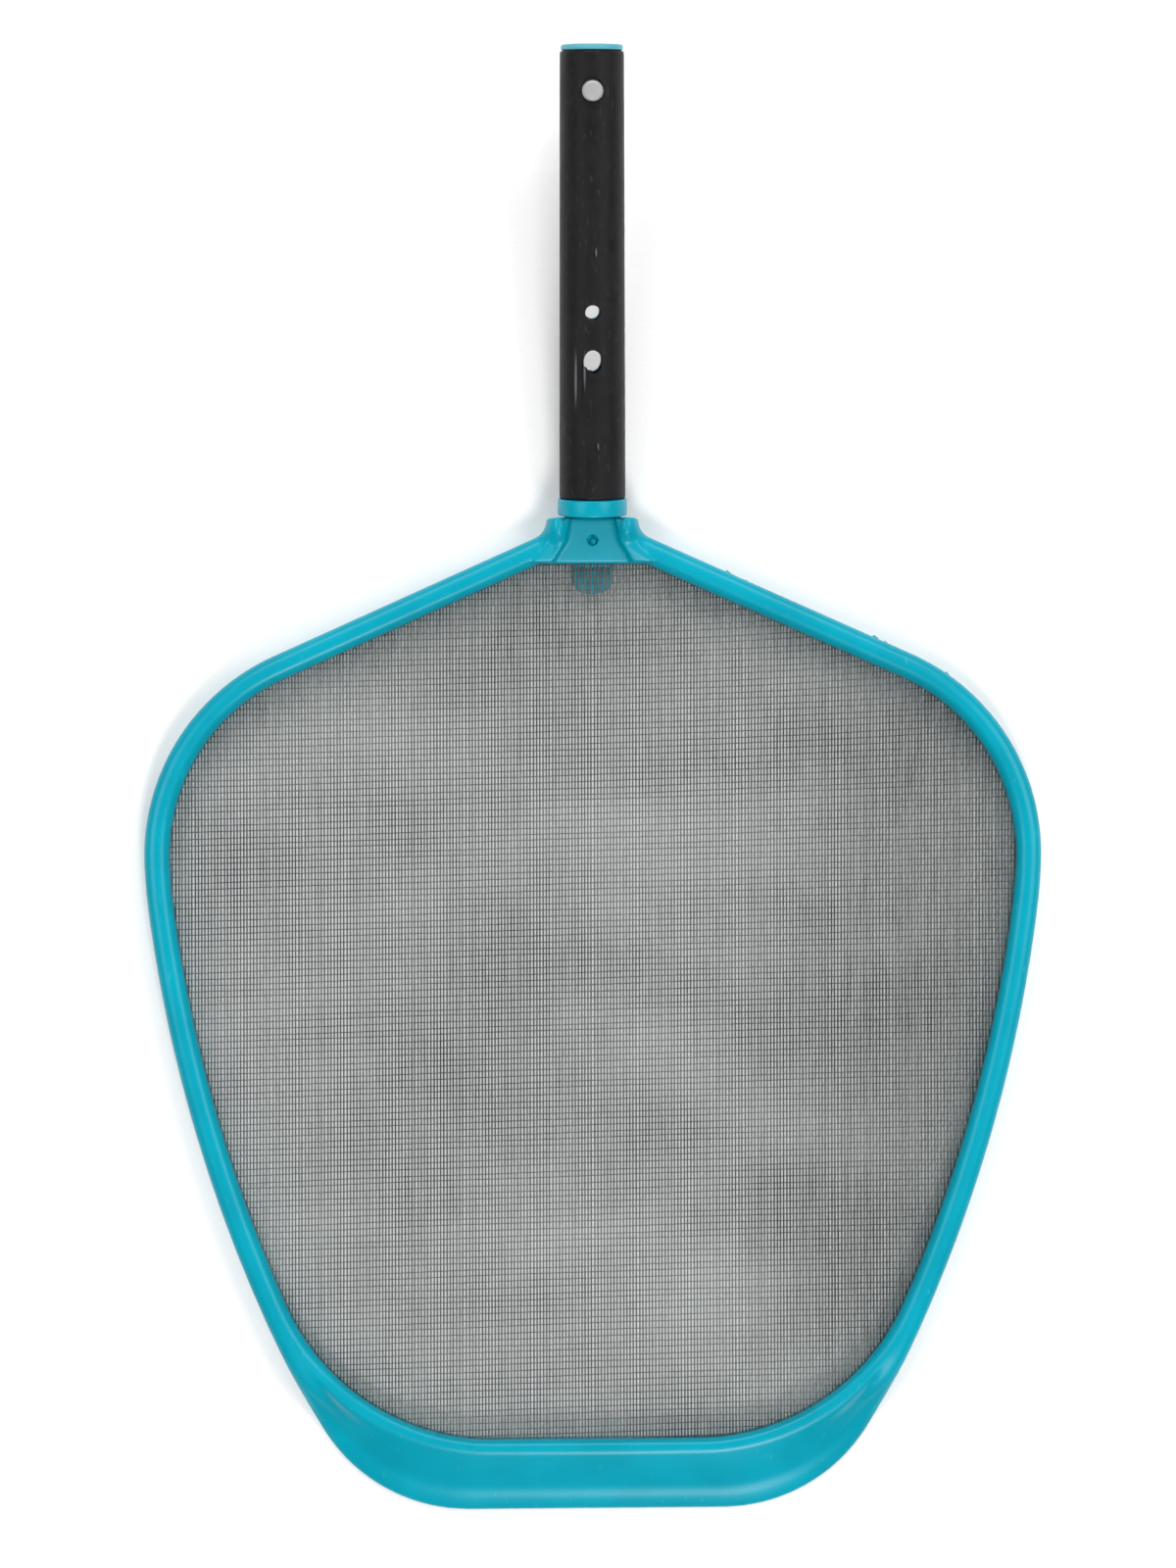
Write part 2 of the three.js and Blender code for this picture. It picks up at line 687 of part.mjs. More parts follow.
const skimmer = new THREE.Group();
skimmer.add(frontFrame(), rearFrame(), netPanel(), handle);
skimmer.add(hubScrew("hub_screw_left", -1), hubScrew("hub_screw_right", 1));
skimmer.position.y = -overallLength / 2;

export default skimmer;
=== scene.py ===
# %% [markdown]
# # A leaf skimmer for a swimming pool
# A turquoise moulded hoop holds a taut grey net, and a sleeved tubular handle plugs into a pole.
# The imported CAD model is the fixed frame: it gives every part's place and which parts move.
# Here the hoop, net, sleeve, rings, buttons and screws are made again with their real roundings,
# weave and finish, in the same place. The handle's tube and the spring clip keep the CAD's shape
# and only get a better finish.

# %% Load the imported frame
import math

import bmesh
import bpy
import numpy as np
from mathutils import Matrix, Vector


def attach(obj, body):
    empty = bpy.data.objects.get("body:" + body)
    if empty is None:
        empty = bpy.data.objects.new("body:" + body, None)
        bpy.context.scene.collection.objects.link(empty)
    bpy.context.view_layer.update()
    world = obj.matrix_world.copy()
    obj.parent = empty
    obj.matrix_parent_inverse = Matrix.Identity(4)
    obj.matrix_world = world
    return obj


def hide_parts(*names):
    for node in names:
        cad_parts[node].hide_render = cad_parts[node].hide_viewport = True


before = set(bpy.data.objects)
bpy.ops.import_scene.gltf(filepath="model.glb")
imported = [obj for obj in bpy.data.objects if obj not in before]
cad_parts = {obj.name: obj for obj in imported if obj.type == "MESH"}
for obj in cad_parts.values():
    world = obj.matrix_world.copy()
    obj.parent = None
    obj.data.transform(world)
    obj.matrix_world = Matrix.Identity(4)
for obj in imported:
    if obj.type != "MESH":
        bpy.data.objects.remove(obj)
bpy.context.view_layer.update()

# %% [markdown]
# ## The camera
# The skimmer lies flat and is seen from straight above, from about one and a half metres, a few
# centimetres to the left of the middle. A long lens keeps the hoop's shape. Depth of field stays
# off, because the whole tool is sharp.

# %% The camera, straight above
scene = bpy.context.scene
camera_data = bpy.data.cameras.new("overhead_camera")
camera_data.lens = 76.5
camera_data.sensor_width = 36
camera = bpy.data.objects.new("overhead_camera", camera_data)
camera.location = (-0.030, 0.0037, 1.5)
camera.rotation_euler = (-0.0017, -0.0185, -0.0048)
scene.collection.objects.link(camera)
scene.camera = camera
print("camera at", [round(v, 3) for v in camera.location], "lens", camera_data.lens)

# %% [markdown]
# ## Places
# Sizes are in millimetres and angles in degrees, as on a drawing, and become metres only when a
# mesh is made. The head's own frame has y = 0 at the scoop's front edge. The handle's frame has
# y along the handle from the hub's face and z to the front, and it is tilted up by ten degrees.
# The sleeve's radius is given here too, because its finish needs the taper as well as its shape.

# %% From the head's and the handle's own frames to the row frame
MM = 0.001
HEAD_SHIFT = 324.826
HANDLE_FOOT_Y = 445.7
HANDLE_FOOT_Z = 16.0
HANDLE_TILT = math.radians(10)
HANDLE_LENGTH = 204.7
SLEEVE_FOOT_RADIUS, SLEEVE_TIP_RADIUS = 14.7, 14.0


def from_head(points):
    """Points of the head's frame, in the row frame."""
    return np.asarray(points, float) + [0, -HEAD_SHIFT, 0]


def from_handle(points):
    """Points of the handle's frame, in the row frame."""
    x, y, z = np.asarray(points, float).T
    c, s = math.cos(HANDLE_TILT), math.sin(HANDLE_TILT)
    lengthwise = HANDLE_FOOT_Y + y * c - z * s - HEAD_SHIFT
    return np.stack([x, lengthwise, HANDLE_FOOT_Z + y * s + z * c], axis=1)


print("handle's end at", from_handle([[0, HANDLE_LENGTH, 0]]).round(1).tolist())

# %% [markdown]
# ## Material tools
# Colours are picked as sRGB hex values, as a paint chart gives them, and turned to linear light in
# one place. One function adds any node with its settings and links. Every pattern is placed by
# object coordinates in millimetres, so a grain of 0.4 mm is written as 0.4.

# %% Colours and nodes
def linear(hex_colour):
    """An sRGB hex colour such as "04A7BC" as linear RGBA."""
    channels = [int(hex_colour[i:i + 2], 16) / 255 for i in (0, 2, 4)]
    return (*[c / 12.92 if c <= 0.04045 else ((c + 0.055) / 1.055) ** 2.4 for c in channels], 1)


def add_node(tree, kind, inputs=None, **settings):
    """Adds a shader node; an input is a value, or another node's output to link from."""
    made = tree.nodes.new("ShaderNode" + kind)
    for name, value in settings.items():
        setattr(made, name, value)
    for name, value in (inputs or {}).items():
        if isinstance(value, bpy.types.NodeSocket):
            tree.links.new(value, made.inputs[name])
        else:
            made.inputs[name].default_value = value
    return made


def new_finish(name, **principled):
    """A node material: its tree, its shader and object coordinates in millimetres."""
    finish = bpy.data.materials.new(name)
    finish.use_nodes = True
    tree = finish.node_tree
    tree.nodes.clear()
    shader = add_node(tree, "BsdfPrincipled", principled)
    add_node(tree, "OutputMaterial", {"Surface": shader.outputs[0]})
    place = add_node(tree, "TexCoord")
    in_mm = add_node(tree, "Mapping", {"Vector": place.outputs["Object"], "Scale": (1000,) * 3})
    return finish, tree, shader, in_mm.outputs[0]


def grain(tree, place, size, detail=3.0, stretch=(1, 1, 1)):
    """Noise whose grains are about size millimetres across, longer where stretch is small."""
    stretched = add_node(tree, "Mapping", {"Vector": place, "Scale": stretch})
    inputs = {"Vector": stretched.outputs[0], "Scale": 1 / size, "Detail": detail}
    return add_node(tree, "TexNoise", inputs).outputs["Fac"]


def remap(tree, value, low, high, to_low=0.0, to_high=1.0):
    """value from low to high, moved to to_low to to_high and held there outside."""
    inputs = {"Value": value, "From Min": low, "From Max": high}
    inputs.update({"To Min": to_low, "To Max": to_high})
    return add_node(tree, "MapRange", inputs).outputs[0]


def mixed(tree, share, colour_a, colour_b):
    """A colour between two, by share."""
    mixer = add_node(tree, "Mix", {0: share, 6: colour_a, 7: colour_b}, data_type="RGBA")
    return mixer.outputs[2]


def bumped(tree, shader, height, depth):
    """Gives the shader a bump of depth millimetres from a height of 0 to 1."""
    inputs = {"Height": height, "Distance": depth * MM, "Strength": 1.0}
    bump = add_node(tree, "Bump", inputs)
    tree.links.new(bump.outputs[0], shader.inputs["Normal"])


def refinish(finish, *node_names):
    """Gives CAD nodes that stay in view a finish in place of their own."""
    for node_name in node_names:
        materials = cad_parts[node_name].data.materials
        materials.clear()
        materials.append(finish)


print("turquoise in linear light:", [round(c, 3) for c in linear("04A7BC")])

# %% [markdown]
# ## Finish: moulded polypropylene, turquoise
# The hoop, hub and rings are injection-moulded polypropylene coloured in the mass. The mould's
# satin surface gives a soft gloss, IOR 1.49, with faint cloudy flow marks tens of millimetres long
# where the melt ran round the hoop. Handling adds small dull, paler rub marks. A noise of 30 mm for
# the flow, one of 0.5 mm for the satin and stretched streaks for the rubs are cheap here. The
# specular level is below the usual 0.5, because a strong white gloss would wash out the colour. The
# lip at the handle's open end gets a paler, rougher copy of this finish, a painted reflection of the
# pale floor all over it.

# %% Turquoise polypropylene
def moulded_polypropylene(name, deep, light, roughness):
    finish, tree, shader, place = new_finish(name, Roughness=roughness, IOR=1.49)
    shader.inputs["Specular IOR Level"].default_value = 0.2
    flow = grain(tree, place, 30.0, 2.0)
    colour = mixed(tree, remap(tree, flow, 0.35, 0.65), linear(deep), linear(light))
    rub = remap(tree, grain(tree, place, 2.2, 6.0, (1.0, 0.25, 1.0)), 0.66, 0.74)
    colour = mixed(tree, remap(tree, rub, 0, 1, 0, 0.22), colour, linear("5FC0CC"))
    tree.links.new(colour, shader.inputs["Base Color"])
    dulled = remap(tree, rub, 0, 1, roughness, roughness + 0.15)
    tree.links.new(dulled, shader.inputs["Roughness"])
    bumped(tree, shader, grain(tree, place, 0.5, 2.0), 0.012)
    return finish


turquoise = moulded_polypropylene("moulded_turquoise_polypropylene", "0093A8", "009CB2", 0.28)
# A paler copy of the turquoise for the end lip: a painted reflection of the pale floor.
painted_reflection_turquoise = moulded_polypropylene("painted_reflection_turquoise_polypropylene", "4C9CAA", "66B0BD", 0.4)
refinish(turquoise, "handle_tube")
print(turquoise.name, len(turquoise.node_tree.nodes), "nodes")

# %% [markdown]
# ## Finish: extruded PVC sleeve, black
# The handle wears a shrunk black PVC sleeve. It is dull, with fine die lines along its length, a
# pebbly grain of about 0.6 mm and pale chalky rub marks. Where a wrinkle stands up it is painted
# grey, partly as rubbing and partly as a painted highlight along the ridge. The nodes find that from
# the shape: a point's distance from the handle's axis, less the sleeve's plain taper, says how far
# it stands proud.

# %% Black sleeve
def shrunk_pvc():
    finish, tree, shader, place = new_finish("shrunk_black_pvc_sleeve", Roughness=0.5, IOR=1.53)
    shader.inputs["Specular IOR Level"].default_value = 0.15
    cloud = remap(tree, grain(tree, place, 14.0, 4.0), 0.3, 0.7)
    colour = mixed(tree, cloud, linear("101012"), linear("19191B"))
    chalk = remap(tree, grain(tree, place, 1.6, 8.0, (1.0, 0.3, 1.0)), 0.6, 0.72)
    colour = mixed(tree, remap(tree, chalk, 0, 1, 0, 0.35), colour, linear("3C3C3E"))
    foot = (0, HANDLE_FOOT_Y - HEAD_SHIFT, HANDLE_FOOT_Z)
    inputs = {"Vector": place, "Location": foot, "Rotation": (HANDLE_TILT, 0, 0)}
    on_handle = add_node(tree, "Mapping", inputs, vector_type="TEXTURE")
    axes = add_node(tree, "SeparateXYZ", {"Vector": on_handle.outputs[0]}).outputs
    spoke = add_node(tree, "CombineXYZ", {"X": axes["X"], "Z": axes["Z"]})
    length = add_node(tree, "VectorMath", {0: spoke.outputs[0]}, operation="LENGTH")
    ends = (SLEEVE_FOOT_RADIUS, SLEEVE_TIP_RADIUS)
    nominal = remap(tree, axes["Y"], 0, HANDLE_LENGTH, *ends)
    inputs = {0: length.outputs["Value"], 1: nominal}
    proud = add_node(tree, "Math", inputs, operation="SUBTRACT").outputs[0]
    # Raised wrinkles go grey: rubbing, and a painted highlight along the ridges.
    colour = mixed(tree, remap(tree, proud, 0.15, 0.4, 0, 0.8), colour, linear("66666A"))
    tree.links.new(colour, shader.inputs["Base Color"])
    tree.links.new(remap(tree, cloud, 0, 1, 0.44, 0.56), shader.inputs["Roughness"])
    die_lines = grain(tree, place, 0.7, 2.0, (1.0, 0.04, 1.0))
    pebble = grain(tree, place, 0.6, 3.0)
    height = add_node(tree, "Math", {0: die_lines, 1: pebble}, operation="ADD")
    bumped(tree, shader, height.outputs[0], 0.05)
    return finish


sleeve_pvc = shrunk_pvc()
print(sleeve_pvc.name, len(sleeve_pvc.node_tree.nodes), "nodes")

# %% [markdown]
# ## Finish: coated polyester yarn, grey
# The net is woven from polyester yarn with a grey coating, so its threads are smooth and slightly
# shiny. Each thread differs a little in tone, and a painted sheen pales it in patches a few
# centimetres wide. Towards the hub and the right side painted shade takes that sheen away, so the
# net is darker there.

# %% Grey yarn
def coated_yarn():
    finish, tree, shader, place = new_finish("coated_grey_polyester_yarn", Roughness=0.5, IOR=1.55)
    # Painted sheen: noise patches a few centimetres wide pale the yarn, standing for the slack net's
    # sheen.
    painted_sheen = remap(tree, grain(tree, place, 60.0, 3.0, (0.5, 1.0, 1.0)), 0.35, 0.65)
    where = add_node(tree, "SeparateXYZ", {"Vector": place})
    # Painted shade: the yarn is darker towards the hub and the right side, where the painted sheen is
    # taken away.
    painted_shade_near_hub = remap(tree, where.outputs["Y"], 10, 110, 0, 0.6)
    painted_shade_near_right = remap(tree, where.outputs["X"], 60, 180, 0, 0.8)
    inputs = {0: painted_shade_near_hub, 1: painted_shade_near_right}
    painted_shade = add_node(tree, "Math", inputs, operation="MAXIMUM").outputs[0]
    inputs = {0: painted_sheen, 1: painted_shade}
    left = add_node(tree, "Math", inputs, operation="SUBTRACT", use_clamp=True).outputs[0]
    colour = mixed(tree, left, linear("262A28"), linear("626764"))
    thread = grain(tree, place, 1.2, 1.0, (1.0, 0.05, 1.0))
    colour = mixed(tree, remap(tree, thread, 0.35, 0.65, 0, 0.3), colour, linear("7A807D"))
    tree.links.new(colour, shader.inputs["Base Color"])
    bumped(tree, shader, grain(tree, place, 0.25, 2.0), 0.02)
    return finish


grey_yarn = coated_yarn()
print(grey_yarn.name, len(grey_yarn.node_tree.nodes), "nodes")

# %% [markdown]
# ## Finishes: stainless steel, turned, rolled and pressed
# The buttons are turned and then dulled by water, so they have a fine grain and a roughness of 0.6.
# The spring strip is rolled, with grain along its length, and the screws are cold-headed and nearly
# plain, both with a roughness of about 0.3. A metal keeps the default IOR, and is metallic 1.

# %% Steels
def stainless_steel(name, tone, roughness, stretch, relief):
    finish, tree, shader, place = new_finish(name, Metallic=1.0, Roughness=roughness)
    lines = grain(tree, place, 0.3, 3.0, stretch)
    colour = mixed(tree, remap(tree, lines, 0.3, 0.7, 0.0, 0.2), linear(tone), linear("8C8E8D"))
    tree.links.new(colour, shader.inputs["Base Color"])
    worn = remap(tree, grain(tree, place, 3.0), 0.3, 0.7, roughness - 0.06, roughness + 0.1)
    tree.links.new(worn, shader.inputs["Roughness"])
    bumped(tree, shader, lines, relief)
    return finish


button_steel = stainless_steel("turned_stainless_steel", "B4B5B4", 0.6, (1, 1, 1), 0.003)
spring_steel = stainless_steel("rolled_spring_steel", "B9BABA", 0.3, (1, 0.03, 1), 0.01)
screw_steel = stainless_steel("headed_stainless_steel", "BFC0C0", 0.28, (1, 1, 1), 0.01)
refinish(spring_steel, "clip_bend", "clip_leg_front", "clip_leg_rear")
print("steels:", button_steel.name, spring_steel.name, screw_steel.name)

# %% [markdown]
# ## Mesh tools
# A moulded or turned part is a closed skin over a row of sections, so one function skins rings.
# Overlapping skins are fused with a voxel remesh, which also rounds the corners as a mould does,
# and holes are cut afterwards, because a remesh would blur them.

# %% Skins, fused pieces and cuts
def skin(rings, closed=False):
    """Points and faces over rings of equal size. The row of rings is closed, or capped."""
    count, size = len(rings), len(rings[0])
    points = np.concatenate(rings)
    faces = []
    for i in range(count if closed else count - 1):
        a, b = i * size, (i + 1) % count * size
        for k in range(size):
            n = (k + 1) % size
            faces.append((a + k, a + n, b + n, b + k))
    if not closed:
        faces.append(tuple(range(size))[::-1])
        faces.append(tuple(range((count - 1) * size, count * size)))
    return points, faces


def joined(*solids):
    """Several (points, faces) as one."""
    points, faces, start = [], [], 0
    for some_points, some_faces in solids:
        points.append(np.asarray(some_points))
        faces += [tuple(start + i for i in face) for face in some_faces]
        start += len(some_points)
    return np.concatenate(points), faces


def make_piece(name, solid, finish, smooth=True):
    """A Blender object from points in millimetres of the row frame."""
    points, faces = solid
    data = bpy.data.meshes.new(name)
    data.from_pydata((np.asarray(points) * MM).tolist(), [], faces)
    edit = bmesh.new()
    edit.from_mesh(data)
    bmesh.ops.remove_doubles(edit, verts=edit.verts, dist=1e-4 * MM)
    bmesh.ops.recalc_face_normals(edit, faces=edit.faces)
    edit.to_mesh(data)
    edit.free()
    data.shade_smooth() if smooth else data.shade_flat()
    data.materials.append(finish)
    piece = bpy.data.objects.new(name, data)
    scene.collection.objects.link(piece)
    return piece


def settle_modifiers(piece):
    """Applies a piece's modifiers to its mesh."""
    seen = piece.evaluated_get(bpy.context.evaluated_depsgraph_get())
    data = bpy.data.meshes.new_from_object(seen)
    piece.modifiers.clear()
    piece.data = data
    return piece


def fuse(piece, voxel, smoothing):
    """Joins a piece's overlapping skins into one and rounds its corners."""
    remesh = piece.modifiers.new("fuse", "REMESH")
    remesh.mode = "VOXEL"
    remesh.voxel_size = voxel * MM
    remesh.use_smooth_shade = True
    soften = piece.modifiers.new("soften", "SMOOTH")
    soften.iterations = smoothing
    return settle_modifiers(piece)


def cut(piece, *cutters):
    """Takes the cutters' space out of a piece, and removes the cutters."""
    for cutter in cutters:
        difference = piece.modifiers.new("cut", "BOOLEAN")
        difference.operation = "DIFFERENCE"
        difference.solver = "EXACT"
        difference.object = cutter
    settle_modifiers(piece)
    for cutter in cutters:
        bpy.data.objects.remove(cutter)
    return piece


def finish_piece(piece, body, slot, *nodes):
    """The piece rides on a body and stands for CAD nodes, which it hides. Its slot is not used."""
    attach(piece, body)
    if nodes:
        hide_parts(*nodes)
    print(piece.name, "on", body, "-", len(piece.data.polygons), "faces")
    return piece


# %% [markdown]
# ## The hoop's outline
# The head's outer edge is one smooth line: the scoop's straight front, a corner, a long gently
# bowed side, a tight shoulder, a straight arm that climbs to the hub, and a turn up into the ear.
# The net's edge runs inside it at the rim's width, and swings away from it along the scoop. A chain
# of straight runs and arcs gives the same line as the CAD, and every point's direction with it.

# %% Outlines as chains of runs and arcs
RIM_WIDTH = 11.3
SCOOP_DEPTH = 33.0
SCOOP_TURN = 66.2
ARM_SLOPE = 24.1
HUB_TOP = 444.3
TIP_TURN, SIDE_TURN, SHOULDER_TURN = 61.5, 21.2, 5.3
CORNER_TURN = 180 - ARM_SLOPE - TIP_TURN - SIDE_TURN - SHOULDER_TURN
EAR_LEAN = 5.0
EAR_TURN = -(90 - ARM_SLOPE - EAR_LEAN)
SIDE_RADIUS, SHOULDER_RADIUS, CORNER_RADIUS = 657.0, 228.6, 97.5
ARM_RUN, INNER_ARM_RUN = 128.8, 131.4


def step_along(move, length):
    """The place (x, y, heading) at a length along one (x, y, heading, length, bend)."""
    x, y, heading, _, bend = move
    if bend == 0:
        return x + length * math.cos(heading), y + length * math.sin(heading), heading
    after = heading + length * bend
    across = (math.sin(after) - math.sin(heading)) / bend
    up = (math.cos(heading) - math.cos(after)) / bend
    return x + across, y + up, after


def chain(start_y, moves):
    """Lays (run,) and (radius, turn) moves end to end from (0, start_y)."""
    laid, place = [], (0.0, start_y, 0.0)
    for move in moves:
        run_only = len(move) == 1
        length = move[0] if run_only else abs(math.radians(move[1])) * move[0]
        bend = 0 if run_only else math.copysign(1 / move[0], move[1])
        laid.append((*place, length, bend))
        place = step_along(laid[-1], length)
    return laid, place


def chain_to_hub(start_y, moves):
    """A chain with one more straight run, up to the hub's top."""
    _, reached = chain(start_y, moves)
    run = (HUB_TOP - reached[1]) / math.cos(math.radians(EAR_LEAN))
    return chain(start_y, [*moves, (run,)])[0]


def chain_length(laid, count):
    return sum(move[3] for move in laid[:count])


def chain_at(laid, length):
    for move in laid[:-1]:
        if length <= move[3]:
            return step_along(move, length)
        length -= move[3]
    return step_along(laid[-1], length)


outer = chain_to_hub(0.0, [
    (57.3,),
    (76.5, TIP_TURN),
    (SIDE_RADIUS, SIDE_TURN),
    (SHOULDER_RADIUS, SHOULDER_TURN),
    (CORNER_RADIUS, CORNER_TURN),
    (ARM_RUN,),
    (8.0, EAR_TURN),
])
side_start = chain_length(outer, 2) + math.radians(SCOOP_TURN - TIP_TURN) * SIDE_RADIUS
beside_x, beside_y, beside_heading = chain_at(outer, side_start)
net_corner_x = beside_x - RIM_WIDTH * math.sin(beside_heading)
net_corner_y = beside_y + RIM_WIDTH * math.cos(beside_heading)
net_corner_radius = (net_corner_y - SCOOP_DEPTH) / (1 - math.cos(math.radians(SCOOP_TURN)))
net_flat = net_corner_x - net_corner_radius * math.sin(math.radians(SCOOP_TURN))


def net_moves(grow):
    """The net's visible edge from the scoop's middle to the arm's end, moved outwards by grow."""
    inset = RIM_WIDTH - grow
    return [
        (net_flat,),
        (net_corner_radius + grow, SCOOP_TURN),
        (SIDE_RADIUS - inset, TIP_TURN + SIDE_TURN - SCOOP_TURN),
        (SHOULDER_RADIUS - inset, SHOULDER_TURN),
        (CORNER_RADIUS - inset, CORNER_TURN),
        (INNER_ARM_RUN,),
    ]


inner = chain_to_hub(SCOOP_DEPTH, [*net_moves(0), (14.0, EAR_TURN)])
print("outer edge", round(2 * chain_length(outer, 8)), "mm, net corner", round(net_corner_radius, 1))

# %% Facing stations on the two edges, about 2.5 mm apart
STATION_STEP = 2.5


def smooth_step(x):
    x = np.clip(x, 0, 1)
    return x * x * (3 - 2 * x)


def half_stations():
    """Rows of inner x, y, outer x, y and ear share, from the scoop's middle to an ear."""
    outer_stops = [0, side_start, *[chain_length(outer, n) for n in range(3, 9)]]
    inner_stops = [0, *[chain_length(inner, n) for n in range(2, 9)]]
    rows = [(*chain_at(inner, 0)[:2], *chain_at(outer, 0)[:2], 0.0)]
    for zone in range(7):
        span = outer_stops[zone + 1] - outer_stops[zone]
        count = max(3, math.ceil(span / STATION_STEP))
        for i in range(1, count + 1):
            share = i / count
            a = chain_at(inner, np.interp(share, [0, 1], inner_stops[zone:zone + 2]))
            b = chain_at(outer, np.interp(share, [0, 1], outer_stops[zone:zone + 2]))
            ear = 0.0 if zone < 5 else float(smooth_step(share)) if zone == 5 else 1.0
            rows.append((*a[:2], *b[:2], ear))
    return np.array(rows)


right_half = half_stations()
left_half = right_half[:0:-1] * [-1, 1, -1, 1, 1]
stations = np.concatenate([left_half, right_half])
print(len(stations), "stations round the hoop")

# %% [markdown]
# ## The hoop's section
# Along the sides the front half is a low rounded rim. Along the scoop its section spreads into a
# blade: a round bead beside the net, then a face that slopes down to a thin edge that slides under
# leaves. A curve through the CAD's own section points gives the mould's smooth crown.

# %% The front half's section
FRONT_LOW, REAR_TOP, LEDGE_TOP = 8.6, 8.3, 7.0
TOUCH_GAP = 0.3
EAR_TOP, RIM_TOP = 22.0, 16.0
RIM_CROWN = np.array([
    [1, 0, 10.8], [1, -0.35, 12.6], [1, -1.05, 13.8], [1, -2.15, 14.9], [1, -3.65, 15.66],
    [0.5, 0, 16],
    [0, 3.65, 15.66], [0, 2.15, 14.9], [0, 1.05, 13.8], [0, 0.35, 12.6], [0, 0, 10.8],
])
BLADE_CROWN = np.array([
    [1, 0, 1.8], [1, -1.4, 3], [0.84, 0, 4.7], [0.68, 0, 6.4], [0.54, 0, 8.9], [0.4, 0, 11.4],
    [0, 7, 14.4], [0, 4.8, 15.05], [0, 2.6, 14.9], [0, 0.9, 13.9], [0, 0, 12],
])


def curve_through(points, steps):
    """A smooth curve through points, with steps points to each span."""
    before, after = 2 * points[:1] - points[1:2], 2 * points[-1:] - points[-2:-1]
    padded = np.concatenate([before, points, after])
    found = []
    for i in range(len(points) - 1):
        p0, p1, p2, p3 = padded[i:i + 4]
        for k in range(steps):
            t = k / steps
            turn = (2 * p0 - 5 * p1 + 4 * p2 - p3) * t ** 2 + (3 * p1 - p0 - 3 * p2 + p3) * t ** 3
            found.append(0.5 * (2 * p1 + (p2 - p0) * t + turn))
    return np.array([*found, points[-1]])


def front_section(width, ear):
    """[distance from the net's edge, height] round the front half, for a rim this wide."""
    blade = smooth_step((width - RIM_WIDTH) / 12)
    taller = 1 + ear * ((EAR_TOP - FRONT_LOW) / (RIM_TOP - FRONT_LOW) - 1)
    rim_z = FRONT_LOW + (RIM_CROWN[:, 2] - FRONT_LOW) * taller
    rim = np.stack([RIM_CROWN[:, 0] * width + RIM_CROWN[:, 1], rim_z], axis=1)
    edge = np.stack([BLADE_CROWN[:, 0] * width + BLADE_CROWN[:, 1], BLADE_CROWN[:, 2]], axis=1)
    crown = curve_through(rim + (edge - rim) * blade, 4)
    lap_low = (REAR_TOP - TOUCH_GAP) * (1 - blade)
    lap = RIM_WIDTH - 1
    return np.array([[0, FRONT_LOW], [lap, FRONT_LOW], [lap, lap_low], [width, lap_low], *crown])


def rear_section(width, ear):
    """The rear half's section, with the ledge that holds the net."""
    full = RIM_WIDTH - 1.3
    under = [[0, 4], [0.8, 1.5], [3.1, 0], [full - 3.1, 0], [full - 0.8, 1.5], [full, 4]]
    return np.array([[0, LEDGE_TOP], *under, [full, REAR_TOP], [5, REAR_TOP], [5, LEDGE_TOP]])


def hoop(section_at):
    """A skin over the section at every station."""
    rings = []
    for inner_x, inner_y, outer_x, outer_y, ear in stations:
        across = np.array([outer_x - inner_x, outer_y - inner_y])
        width = math.hypot(*across)
        section = section_at(width, ear)
        flat = [inner_x, inner_y] + section[:, :1] * across / width
        rings.append(np.column_stack([flat, section[:, 1]]))
    return skin(rings)


print("rim section", front_section(RIM_WIDTH, 0).shape, "scoop", front_section(33, 0).shape)

# %% [markdown]
# ## The hub
# Between the ears a web slopes up towards the handle. It is a slab with a flat plan, so it is two
# flat outlines skinned together, and the fusing gives it the small fillets that join it to the
# arms. Two thicker slabs, one at the root of each ear, carry the web's sides up into the ears.
# Behind it the rear half has a plate and a round-ended tongue that backs the net.

# %% Web, plate and tongue
WEB_EDGE = 424.3
WEB_RISE = (12, 18)
WEB_HALF_PLAN = [(26, WEB_EDGE), (20, 429), (14, 434), (12, HUB_TOP)]
WEB_PLAN = np.array([*WEB_HALF_PLAN, *[(-x, y) for x, y in WEB_HALF_PLAN[::-1]]])


def slab(plan, low, top):
    """A slab over a plan outline; low and top are heights, or one height for each point."""
    return skin([np.column_stack([plan, np.broadcast_to(z, len(plan))]) for z in (low, top)])


def web_height(y):
    """The height of the web's front face, which climbs to the hub's top."""
    return np.interp(y, [WEB_EDGE, HUB_TOP], WEB_RISE)


EAR_ROOT = np.array([
    # x, y, height of the root's front face
    (9.7, HUB_TOP, 20.6), (12.2, 434, 18.4), (17.8, 424.6, 14.9),
    (27, 424.6, 15.4), (17, 438, 18.6), (13.5, HUB_TOP, 21.2),
])
ear_roots = [slab(EAR_ROOT[:, :2] * [side, 1], FRONT_LOW, EAR_ROOT[:, 2]) for side in (-1, 1)]
web_rise = web_height(WEB_PLAN[:, 1])
front_web = slab(WEB_PLAN, FRONT_LOW, web_rise)
rear_plate = slab(WEB_PLAN, 0, REAR_TOP)
TONGUE_HALF, TONGUE_TIP, TONGUE_ROUND, TONGUE_ROOT = 9, 411, 5.4, 426
arc = np.linspace(0, math.pi, 25)
tongue_x = -TONGUE_HALF * np.cos(arc)
tongue_y = TONGUE_TIP + TONGUE_ROUND * (1 - np.sin(arc))
tongue_ends = [[TONGUE_HALF, TONGUE_ROOT], [-TONGUE_HALF, TONGUE_ROOT]]
tongue = slab(np.array([*np.stack([tongue_x, tongue_y], axis=1), *tongue_ends]), 3.5, 6.7)
print("web rises from", web_rise.min(), "to", web_rise.max(), "mm")


